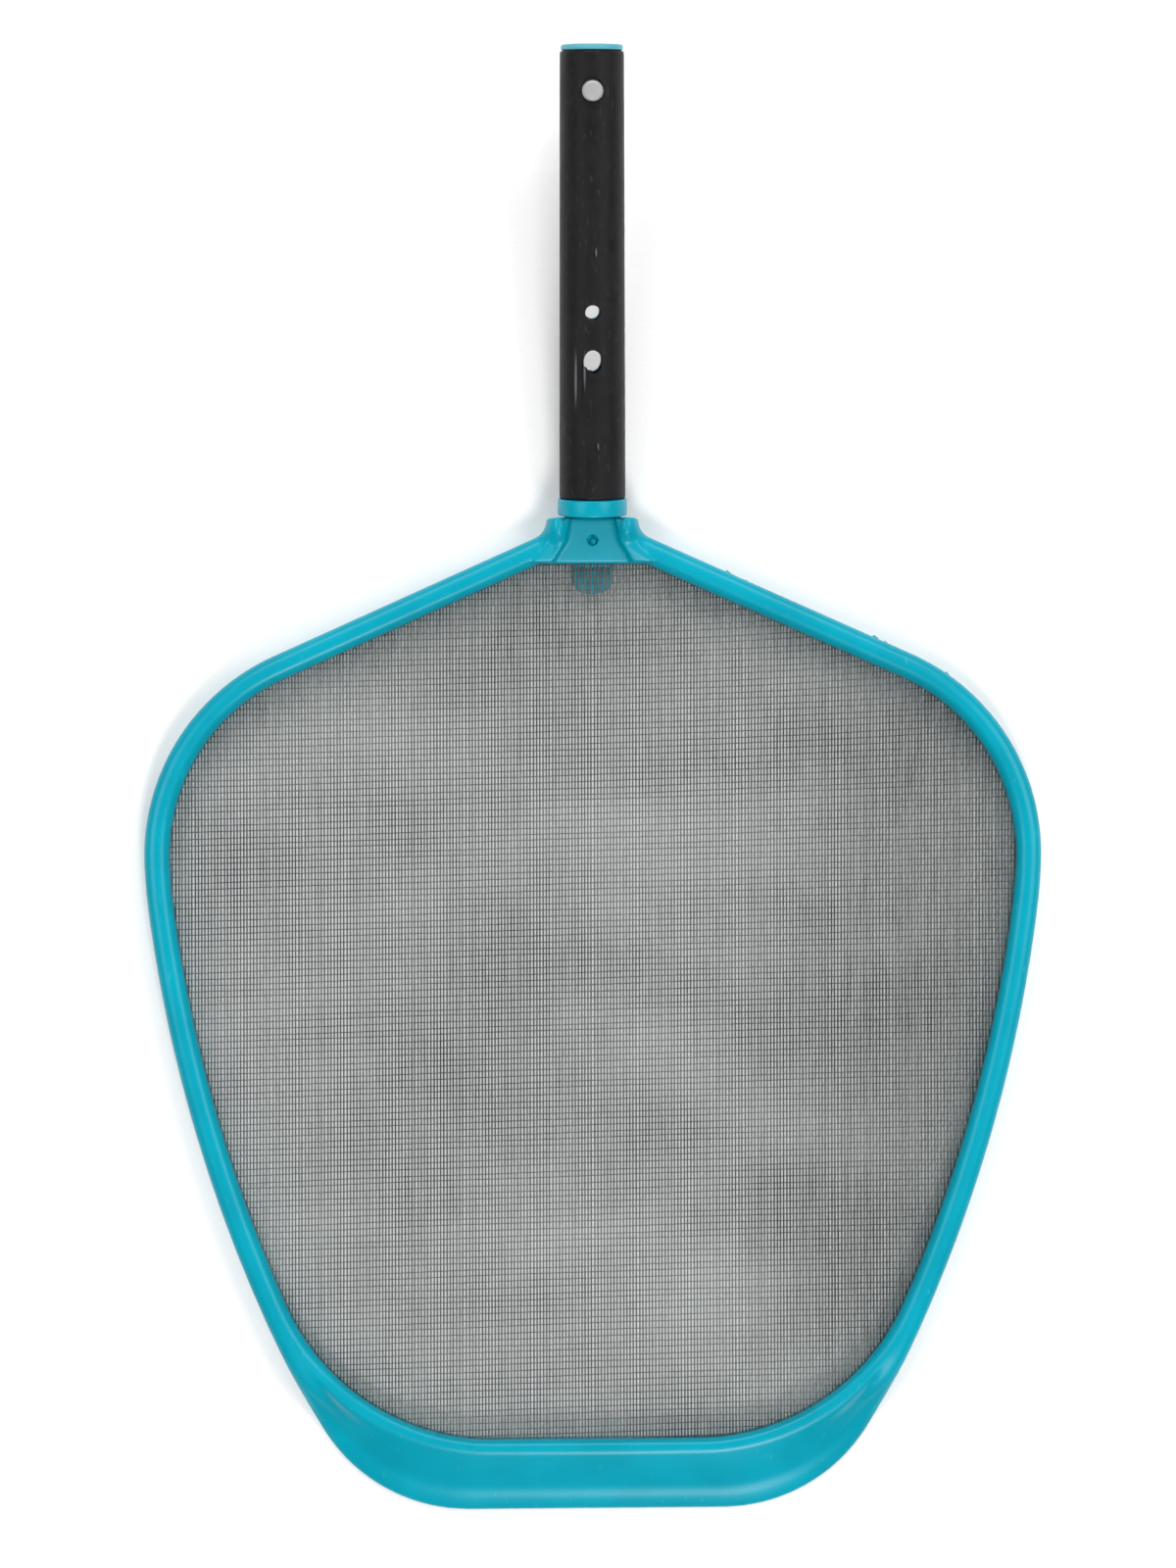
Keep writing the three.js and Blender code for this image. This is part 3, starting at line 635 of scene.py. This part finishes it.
# %% Cutters for the tang's pocket, the screws and the net's step
def block(half_x, y0, y1, z0, z1):
    plan = np.array([(-half_x, y0), (half_x, y0), (half_x, y1), (-half_x, y1)])
    return slab(plan, z0, z1)


def round_rod(x, y, radius, z0, z1, sides=48, radius_y=None):
    turn = np.linspace(0, 2 * math.pi, sides, endpoint=False)
    plan = np.stack([x + radius * np.cos(turn), y + (radius_y or radius) * np.sin(turn)], axis=1)
    return slab(plan, z0, z1)


def cutter(solid, place=from_head):
    points, faces = solid
    return make_piece("cutter", (place(points), faces), turquoise)


TANG_POCKET = (11.3, 430.7, 451.3)
SCREW_X, SCREW_Y = 6.2, 437.3
SCREW_HOLE, SCREW_HEAD_HOLE = 1.8, 3.5

# %% [markdown]
# ## The front half
# Rim, scoop, ears and web are one moulding. It is fused at 0.7 mm, fine enough to keep the scoop's
# 1.8 mm edge, and softened a little so that highlights run smoothly along the bead. Then the tang's
# pocket and the screws' holes are cut, and a small round recess in the web for the gate mark.

# %% Front half of the hoop
VOXEL = 0.7


def head_piece(name, *solids):
    points, faces = joined(*solids)
    return make_piece(name, (from_head(points), faces), turquoise)


GATE_Y, GATE_RADIUS = 434.6, 2.5
GATE_Z = web_height(GATE_Y)
front_solids = [hoop(front_section), front_web, *ear_roots]
front_hoop = fuse(head_piece("front_hoop", *front_solids), VOXEL, 6)
cut(
    front_hoop,
    cutter(block(*TANG_POCKET, 0, 11.3)),
    *[cutter(round_rod(side * SCREW_X, SCREW_Y, SCREW_HOLE, 0, 13.5)) for side in (-1, 1)],
    cutter(round_rod(0, GATE_Y, GATE_RADIUS, GATE_Z - 1.1, 30)),
)
finish_piece(front_hoop, "skimmer", "turquoise_plastic", "front_frame")

# %% [markdown]
# ## The rear half
# It clamps the net from behind, with a ledge under the net's edge. Its plate is stepped for the
# net and bored for the screw heads.

# %% Rear half of the hoop
rear_hoop = fuse(head_piece("rear_hoop", hoop(rear_section), rear_plate, tongue), VOXEL, 4)
cut(
    rear_hoop,
    cutter(block(30, 422, WEB_EDGE + 5, LEDGE_TOP, 12)),
    cutter(block(*TANG_POCKET, 4, 12)),
    *[cutter(round_rod(side * SCREW_X, SCREW_Y, SCREW_HOLE, -3, 12)) for side in (-1, 1)],
    *[cutter(round_rod(side * SCREW_X, SCREW_Y, SCREW_HEAD_HOLE, -3, 2.5)) for side in (-1, 1)],
)
finish_piece(rear_hoop, "skimmer", "turquoise_plastic", "rear_frame")


# %% [markdown]
# ## Turned and extruded parts of the handle
# The collar, sleeve, end ring, buttons and screws are all round, so each is a profile of
# [radius, distance along the axis] skinned round that axis.

# %% Turning a profile
def turned(profile, sides=128):
    """A closed profile, or one that starts and ends on the axis, turned about y."""
    profile = np.asarray(profile, float)
    angles = np.linspace(0, 2 * math.pi, sides, endpoint=False)
    rings = [
        np.column_stack([profile[:, 0] * math.sin(a), profile[:, 1], profile[:, 0] * math.cos(a)])
        for a in angles
    ]
    return skin(rings, closed=True)


def rounded(corners, radius, steps=5):
    """A closed profile with its corners rounded."""
    corners = np.asarray(corners, float)
    found = []
    for i, corner in enumerate(corners):
        before, after = corners[i - 1] - corner, corners[(i + 1) % len(corners)] - corner
        reach = min(radius, np.linalg.norm(before) / 2.1, np.linalg.norm(after) / 2.1)
        start = corner + before / np.linalg.norm(before) * reach
        end = corner + after / np.linalg.norm(after) * reach
        for t in np.linspace(0, 1, steps):
            found.append(start * (1 - t) ** 2 + 2 * corner * t * (1 - t) + end * t ** 2)
    return np.array(found)


def taper(y, inset=0.0):
    """The sleeve's outer radius at a distance along the handle, less an inset."""
    narrowing = SLEEVE_TIP_RADIUS - SLEEVE_FOOT_RADIUS
    return SLEEVE_FOOT_RADIUS + narrowing * y / HANDLE_LENGTH - inset


def handle_piece(name, solid, finish):
    points, faces = solid
    return make_piece(name, (from_handle(points), faces), finish)


# %% Collar at the hub
SLEEVE_WALL = 1.7
COLLAR_RADIUS, COLLAR_LENGTH = 15.4, 7.4
SLEEVE_START = COLLAR_LENGTH + TOUCH_GAP
SLEEVE_END = HANDLE_LENGTH - 2.9
bore = taper(0, SLEEVE_WALL)
collar_corners = [(bore, 0), (COLLAR_RADIUS, 0), (COLLAR_RADIUS, COLLAR_LENGTH), (bore, COLLAR_LENGTH)]
collar_profile = rounded(collar_corners, 0.8)
collar = handle_piece("collar", turned(collar_profile), turquoise)
finish_piece(collar, "skimmer", "turquoise_plastic", "collar_ring")

# %% Lip at the open end
LIP_BORE, LIP_SPIGOT, LIP_RADIUS = 7.9, 9.5, 13.6
lip_start = SLEEVE_END + TOUCH_GAP
lip_corners = [
    (LIP_BORE, SLEEVE_END - 7), (LIP_SPIGOT, SLEEVE_END - 7), (LIP_SPIGOT, lip_start),
    (LIP_RADIUS, lip_start), (LIP_RADIUS, HANDLE_LENGTH), (LIP_BORE, HANDLE_LENGTH),
]
# The lip wears the paler turquoise copy, a painted reflection of the pale floor.
lip = handle_piece("end_lip", turned(rounded(lip_corners, 1.1)), painted_reflection_turquoise)
finish_piece(lip, "skimmer", "turquoise_plastic", "end_ring")

# %% [markdown]
# ## The sleeve
# A thin tube on a fine grid, so that it can carry real dents: long wrinkles beside the bolt hole
# where it was pushed on, two small nicks, and a flat on its left edge near the hub. The holes are
# cut after the wrinkles, and go through both walls for the buttons, the pin and the bolt. A torn
# scrap of sleeve stands over the edge of the bolt's hole.

# %% Sleeve with wrinkles
WRINKLES = [
    # x, y, half width, half length, height: a ridge is above 0 and a crease below
    (-7.4, 61, 0.6, 13, 0.5), (-5.2, 58, 0.6, 11, -0.5), (-3.6, 64, 0.5, 9, 0.45),
    (-8.9, 66, 0.8, 9, -0.4), (1.2, 30, 0.5, 2.4, -0.6), (2.2, 31.5, 0.5, 2.0, 0.5),
    (0.4, 114, 0.5, 3.2, -0.6), (1.4, 115.5, 0.5, 2.2, 0.5), (5.0, 140, 0.8, 6, -0.2),
    (-14.4, 40, 1.4, 4, -0.6), (6.6, 184, 0.5, 6, 0.2), (9.0, 178, 0.7, 9, -0.15),
    (-3.0, 22, 1.0, 6, 0.12), (4.4, 48, 0.7, 7, -0.15), (-9.5, 110, 0.8, 14, -0.1),
]


def sleeve_swell(x, y):
    """How far the sleeve's front stands out at a place, from its wrinkles and its slackness."""
    swell = 0.06 * np.sin(y / 9.0) * np.cos(x / 5.0)
    for at_x, at_y, wide, long, height in WRINKLES:
        swell = swell + height * np.exp(-((x - at_x) / wide) ** 2 - ((y - at_y) / long) ** 2)
    return swell


def sleeve_solid(around=320, along=260):
    angles = np.linspace(0, 2 * math.pi, around, endpoint=False)
    ys = np.linspace(SLEEVE_START, SLEEVE_END, along)
    rings = []
    for y in ys:
        radius = taper(y)
        front = np.clip(np.cos(angles) * 2, 0, 1)
        end_round = 0.25 * sum(np.exp(-((y - end) / 0.6) ** 2) for end in (ys[0], ys[-1]))
        swell = sleeve_swell(radius * np.sin(angles), y) * front
        r = radius - end_round + swell
        rings.append(np.column_stack([r * np.sin(angles), np.full(around, y), r * np.cos(angles)]))
    for y in ys[::-10]:
        r = taper(y, SLEEVE_WALL)
        rings.append(np.column_stack([r * np.sin(angles), np.full(around, y), r * np.cos(angles)]))
    return skin(rings, closed=True)


def handle_cutter(y, radius, radius_y=None):
    """A rod right through the handle; radius_y makes the hole longer or shorter along it."""
    return cutter(round_rod(0, y, radius, -18, 18, radius_y=radius_y), from_handle)


BUTTON_Y, PIN_Y, BOLT_Y = 185, 89.6, 68.2
sleeve = handle_piece("black_sleeve", sleeve_solid(), sleeve_pvc)
cut(sleeve, handle_cutter(BUTTON_Y, 5.1), handle_cutter(PIN_Y, 3.3), handle_cutter(BOLT_Y, 4.0, 5.2))
finish_piece(sleeve, "skimmer", "sleeve_rubber", "grip_sleeve")

# %% Ragged edge at the bolt hole
RAGGED_PLAN = np.array([
    (-3.6, 64.4), (-3.2, 66.4), (-2.1, 64.9), (-0.7, 64.8), (0.4, 63.9), (-0.6, 62.8),
])
ragged_edge = handle_piece("sleeve_ragged_edge", slab(RAGGED_PLAN, 13.4, 14.25), sleeve_pvc)
finish_piece(ragged_edge, "skimmer", "sleeve_rubber")

# %% [markdown]
# ## The snap buttons
# Each button is a turned stainless pin with a flat top and a bright bevel round it. The buttons
# are seen in the sleeve's top holes, front and back, and each rides on its own spring leg.

# %% Two buttons on their legs
LEG_REACH, BEND_RADIUS, LEG_HEIGHT = 75.0, 1.9, 6.3
LEG_SLOPE = math.asin((LEG_HEIGHT - BEND_RADIUS) / LEG_REACH)
BUTTON_LEAN = 0.16
BEND_Y = BUTTON_Y + BUTTON_LEAN - LEG_REACH * math.cos(LEG_SLOPE)


def from_leg(points, side):
    """Points of a leg's frame (y along the leg from its root, z out) in the handle's frame."""
    x, y, z = np.asarray(points, float).T
    c, s = math.cos(LEG_SLOPE), math.sin(LEG_SLOPE)
    out = BEND_RADIUS + y * s + z * c
    return np.stack([side * x, BEND_Y + y * c - z * s, side * out], axis=1)


def on_leg(profile, sides=64):
    """A profile of [radius, height] turned about the leg's z at the button's place."""
    points, faces = turned(profile, sides)
    x, y, z = points.T
    return np.stack([x, LEG_REACH + z, y], axis=1), faces


BUTTON_PROFILE = [
    (0, -1.6), (2.2, -1.6), (2.7, -1.1), (2.7, -0.7), (1.9, -0.7), (1.9, 0.7), (4.55, 0.7),
    (4.55, 9.9), (4.42, 10.35), (4.1, 10.75), (3.7, 10.95), (3.45, 11.0), (3.3, 10.94),
    (3.1, 10.98), (1.6, 11.06), (0, 11.08),
]
for side, word in ((1, "front"), (-1, "rear")):
    points, faces = on_leg(BUTTON_PROFILE)
    button = handle_piece(f"snap_button_{word}", (from_leg(points, side), faces), button_steel)
    finish_piece(button, f"{word}_snap", "button_steel", f"button_{word}")

# %% [markdown]
# ## The hub's screws
# Two pan-head screws hold the tang from behind. A pan head is a low dome with a cross recess,
# which is cut with two crossed blocks.

# %% Screws with cross recesses
SCREW_PROFILE = [
    (0, 0.4), (1.2, 0.42), (2.2, 0.55), (2.8, 0.85), (3.15, 1.4), (3.2, 2.2), (1.5, 2.2),
    (1.5, 11.2), (0, 13.2),
]
for side, word in ((-1, "left"), (1, "right")):
    points, faces = turned(SCREW_PROFILE, 48)
    x, y, z = points.T
    placed = from_head(np.stack([x + side * SCREW_X, SCREW_Y - z, y], axis=1))
    screw = make_piece(f"pan_screw_{word}", (placed, faces), screw_steel)
    arms = [(0.35, 1.5), (1.5, 0.35)]
    plans = [np.array([(-a, -b), (a, -b), (a, b), (-a, b)]) for a, b in arms]
    cross = [slab(plan + [side * SCREW_X, SCREW_Y], 0, 1.5) for plan in plans]
    cut(screw, *[cutter(bar) for bar in cross])
    finish_piece(screw, "skimmer", "screw_steel", f"hub_screw_{word}")

# %% [markdown]
# ## Mould marks
# A moulding keeps the marks of its mould: a small off-centre nub in the web's round recess, where
# the plastic ran in, and thin flakes of flash on the parting line of the right arm and its corner.

# %% Gate mark and flash
GATE_PROFILE = [(0, -1.2), (1.3, -1.2), (1.15, 0.25), (0.8, 0.5), (0.4, 0.35), (0, 0.4)]
points, faces = turned(GATE_PROFILE, 32)
x, y, z = points.T
placed = from_head(np.column_stack([x + 0.4, z + GATE_Y - 0.5, y + GATE_Z]))
gate_mark = make_piece("gate_mark", (placed, faces), turquoise)
finish_piece(gate_mark, "skimmer", "turquoise_plastic")

FLASH_SPOTS = [
    # share of the arm from its corner, size
    (0.70, 1.1), (0.63, 0.6), (0.14, 1.3), (0.10, 0.8), (-0.14, 0.9),
]
arm_start = chain_length(outer, 5)
flakes = []
for share, size in FLASH_SPOTS:
    x, y, heading = chain_at(outer, arm_start + ARM_RUN * share)
    along = np.array([math.cos(heading), math.sin(heading)])
    out = np.array([along[1], -along[0]])
    plan = [(-1.6, -0.6), (1.4, -0.6), (0.9, 0.3), (0.3, 0.9), (-0.4, 0.4), (-1.1, 0.5)]
    flat = np.array([[x, y] + size * (a * along + b * out) for a, b in plan])
    flakes.append(slab(flat, 8.35, 8.75))
flash = head_piece("flash_flakes", *flakes)
finish_piece(flash, "skimmer", "turquoise_plastic")

# %% [markdown]
# ## The net's surface
# The net is stretched in the hoop and clamped all round, so it hangs as a shallow dish. A coarse
# sheet pinned along its edge and left to settle as cloth finds that dish. Only its height is kept,
# scaled to a sag of a few millimetres, and the threads are laid on it.

# %% The net's outline
NET_MIDDLE = 7.8
NET_SAG = 4.6
NET_CLAMP = 4.2
NET_TOP = WEB_EDGE + NET_CLAMP
net_chain, _ = chain(SCOOP_DEPTH - NET_CLAMP, net_moves(NET_CLAMP))


def net_outline():
    """The right half of the net's cut edge, then the left."""
    lengths = np.linspace(0, chain_length(net_chain, 6), 260)
    right = np.array([chain_at(net_chain, length)[:2] for length in lengths])
    right = right[right[:, 1] < NET_TOP]
    last_x = right[-1, 0] - (NET_TOP - right[-1, 1]) / math.tan(math.radians(ARM_SLOPE))
    right = np.array([*right[1:], [last_x, NET_TOP]])
    return np.concatenate([right, right[::-1] * [-1, 1]])


net_edge = net_outline()


def inside_net(x, y):
    """Whether points lie inside the net's outline, by counting edge crossings."""
    inside = np.zeros(x.shape, bool)
    for (x0, y0), (x1, y1) in zip(net_edge, np.roll(net_edge, -1, axis=0)):
        if y0 == y1:
            continue
        crosses = ((y0 > y) != (y1 > y)) & (x < (x1 - x0) * (y - y0) / (y1 - y0) + x0)
        inside ^= crosses
    return inside


# %% Let a coarse sheet settle
PITCH = 6.0
grid_x = np.arange(-204, 204.1, PITCH)
grid_y = np.arange(24, 432.1, PITCH)
mesh_x, mesh_y = np.meshgrid(grid_x, grid_y)
free = inside_net(mesh_x, mesh_y)
for dx, dy in ((7, 0), (-7, 0), (0, 7), (0, -7)):
    free &= inside_net(mesh_x + dx, mesh_y + dy)


def settled_heights():
    """The heights of the grid after a cloth pinned outside the free part has settled."""
    rows, columns = mesh_x.shape
    points = np.stack([mesh_x.ravel(), mesh_y.ravel(), np.zeros(mesh_x.size)], axis=1)
    index = np.arange(mesh_x.size).reshape(rows, columns)
    corners = [index[:-1, :-1], index[:-1, 1:], index[1:, 1:], index[1:, :-1]]
    faces = np.stack([c.ravel() for c in corners], axis=1).tolist()
    sheet = make_piece("settling_sheet", (points, faces), grey_yarn)
    pins = sheet.vertex_groups.new(name="pinned")
    pins.add(np.flatnonzero(~free.ravel()).tolist(), 1.0, "ADD")
    cloth = sheet.modifiers.new("cloth", "CLOTH")
    cloth.settings.vertex_group_mass = "pinned"
    cloth.settings.mass = 0.02
    cloth.settings.tension_stiffness = 20
    cloth.settings.compression_stiffness = 5
    cloth.settings.shear_stiffness = 3
    cloth.settings.bending_stiffness = 0.02
    cloth.settings.air_damping = 4
    for number in range(1, 26):
        scene.frame_set(number)
    seen = sheet.evaluated_get(bpy.context.evaluated_depsgraph_get())
    heights = np.array([vertex.co.z for vertex in seen.data.vertices]).reshape(rows, columns)
    bpy.data.objects.remove(sheet)
    scene.frame_set(1)
    return heights


dish = settled_heights()
dish = dish / -dish.min()
print("dish: deepest 1, mean of free part", round(float(-dish[free].mean()), 2))


# %% The surface's height at any place
def net_height(x, y):
    """The middle of the net's thickness at a place, in millimetres."""
    column = np.clip((x - grid_x[0]) / PITCH, 0, len(grid_x) - 1.001)
    row = np.clip((y - grid_y[0]) / PITCH, 0, len(grid_y) - 1.001)
    i, j = row.astype(int), column.astype(int)
    v, u = row - i, column - j
    near = dish[i, j] * (1 - u) + dish[i, j + 1] * u
    far = dish[i + 1, j] * (1 - u) + dish[i + 1, j + 1] * u
    sag = near * (1 - v) + far * v
    return NET_MIDDLE + NET_SAG * sag


print("height at the middle", net_height(np.array([0.0]), np.array([230.0])).round(2))

# %% [markdown]
# ## The weave
# The mesh is a plain weave that is open like a screen: upright threads 1.44 mm apart and 0.7 mm
# wide, and cross threads 2.86 mm apart and 0.46 mm wide, all 0.36 mm thick. The uprights are drawn
# up to 0.14 mm fuller towards the right side and the hub, where the net looks denser. A pattern of
# holes in a material would show no thickness and no gloss, so the threads are real strands of
# four-sided section. Each upright thread passes over and under the cross threads in turn. The cross
# threads are pulled slightly askew, as the net was clamped by hand.

# %% Threads as strands
UPRIGHT_PITCH, CROSS_PITCH = 1.44, 2.86
UPRIGHT_WIDE, CROSS_WIDE, THREAD_THICK = 0.70, 0.46, 0.36
UPRIGHT_FULLER = 0.14
wobble = np.random.default_rng(7)


def cross_line(number, x):
    """The y of a cross thread at x: it rises to the right, more so near the right arm."""
    base = 24 + number * CROSS_PITCH + uneven[number]
    high = smooth_step((base - 250) / 150)
    lift = np.clip(x, 0, None) ** 2 * 0.00013 * high
    return base + math.tan(math.radians(1.6)) * x + lift + 0.12 * np.sin(x / 17 + number)


cross_count = int(440 / CROSS_PITCH)
uneven = wobble.normal(0, 0.16, cross_count)
upright_count = 2 * int(200 / UPRIGHT_PITCH) + 1
upright_shift = wobble.normal(0, 0.05, upright_count)


def strand(path, sideways, wide, thick):
    """A four-sided strand along a path, closed at both ends."""
    half_wide = np.outer(np.broadcast_to(wide / 2, len(path)), sideways)
    rings = np.stack([
        path + half_wide,
        path + [0, 0, thick / 2],
        path - half_wide,
        path - [0, 0, thick / 2],
    ], axis=1)
    return skin(list(rings))


def upright_thread(number):
    """One thread from scoop to arm, bent over and under each cross thread."""
    x = (number - upright_count // 2) * UPRIGHT_PITCH + upright_shift[number]
    crossings = np.array([cross_line(n, x) for n in range(cross_count)])
    over = np.where((np.arange(cross_count) + number) % 2 == 0, 1.0, -1.0)
    lean = x + 0.004 * (crossings - 200)
    keep = inside_net(lean, crossings)
    if keep.sum() < 3:
        return None
    lean, crossings, over = lean[keep], crossings[keep], over[keep]
    z = net_height(lean, crossings) + over * THREAD_THICK * 0.5
    path = np.column_stack([lean, crossings, z])
    fuller = np.maximum(smooth_step((lean - 40) / 120), 0.6 * smooth_step((crossings - 320) / 90))
    wide = UPRIGHT_WIDE + UPRIGHT_FULLER * fuller
    return strand(path, np.array([1.0, 0, 0]), wide, THREAD_THICK)


def cross_thread(number):
    """One thread from side to side, nearly straight between the uprights."""
    x = np.arange(-204, 204.1, 6.0)
    fine = np.arange(-204, 204.1, 0.5)
    held = fine[inside_net(fine, cross_line(number, fine))]
    if len(held) < 12:
        return None
    x = np.array([held[0], *x[(x > held[0] + 1) & (x < held[-1] - 1)], held[-1]])
    y = cross_line(number, x)
    path = np.column_stack([x, y, net_height(x, y)])
    return strand(path, np.array([0, 1.0, 0]), CROSS_WIDE, THREAD_THICK)


# %% Weave the net
skip = 1
threads = [upright_thread(n) for n in range(0, upright_count, skip)]
threads += [cross_thread(n) for n in range(0, cross_count, skip)]
threads = [thread for thread in threads if thread is not None]
points, faces = joined(*threads)
net = make_piece("woven_net", (from_head(points), faces), grey_yarn, smooth=False)
finish_piece(net, "skimmer", "net", "net_panel")
heights = points[:, 2].min(), points[:, 2].max()
print(len(threads), "threads, heights", [round(float(z), 2) for z in heights], "mm")

# %% [markdown]
# ## The floor and the light
# A plain pale round floor, and soft light from four panels round it, well off the vertical. The
# space straight above is dim, so level glossy plastic seen from above keeps its deep colour, while
# the rounded edges that lean towards a panel pick up long quiet highlights. The surround lights the
# scene at a strength of 0.13, and a Light Path node in the world shows it to the camera as white, so
# that floor and background look alike. The plain display transform shows each hex colour as picked.

# %% Floor
floor_finish, floor_tree, floor_shader, floor_place = new_finish("pale_matt_board", Roughness=0.9)
floor_shader.inputs["Specular IOR Level"].default_value = 0.1
speckle = remap(floor_tree, grain(floor_tree, floor_place, 1.5, 4.0), 0.3, 0.7)
floor_tone = mixed(floor_tree, speckle, linear("F9F9F9"), linear("FDFDFD"))
floor_tree.links.new(floor_tone, floor_shader.inputs["Base Color"])
FLOOR_RADIUS, FLOOR_SIDES = 1150, 96
floor_turn = np.linspace(0, 2 * math.pi, FLOOR_SIDES, endpoint=False)
floor_round = FLOOR_RADIUS * np.array([np.cos(floor_turn), np.sin(floor_turn)])
floor_points = np.column_stack([*floor_round, np.full(FLOOR_SIDES, -0.2)])
floor_faces = [tuple(range(FLOOR_SIDES))]
floor = make_piece("pale_floor", (floor_points, floor_faces), floor_finish, smooth=False)

# %% Soft light
scene.view_settings.view_transform = "Standard"
world = bpy.data.worlds.new("studio_surround")
world.use_nodes = True
surround = world.node_tree.nodes["Background"]
surround.inputs["Color"].default_value = (1, 1, 1, 1)
ray = add_node(world.node_tree, "LightPath")
SURROUND_LIGHT, SURROUND_SEEN = 0.13, 1.0
glow = remap(world.node_tree, ray.outputs["Is Camera Ray"], 0, 1, SURROUND_LIGHT, SURROUND_SEEN)
world.node_tree.links.new(glow, surround.inputs["Strength"])
scene.world = world


def soft_panel(name, place, width, height, power):
    """A rectangular area light that faces the middle of the skimmer."""
    data = bpy.data.lights.new(name, "AREA")
    data.shape = "RECTANGLE"
    data.size, data.size_y = width, height
    data.energy = power
    panel = bpy.data.objects.new(name, data)
    panel.location = place
    panel.rotation_euler = (-Vector(place)).to_track_quat("-Z", "Y").to_euler()
    scene.collection.objects.link(panel)
    return panel


soft_panel("panel_beyond_handle", (0.0, 1.55, 1.3), 2.4, 0.8, 33)
soft_panel("panel_near_scoop", (0.25, -1.45, 1.6), 0.6, 0.6, 24)
soft_panel("panel_left", (-1.3, 0.1, 1.55), 1.0, 1.0, 11)
soft_panel("panel_right", (1.3, 0.2, 1.55), 1.0, 1.0, 14)
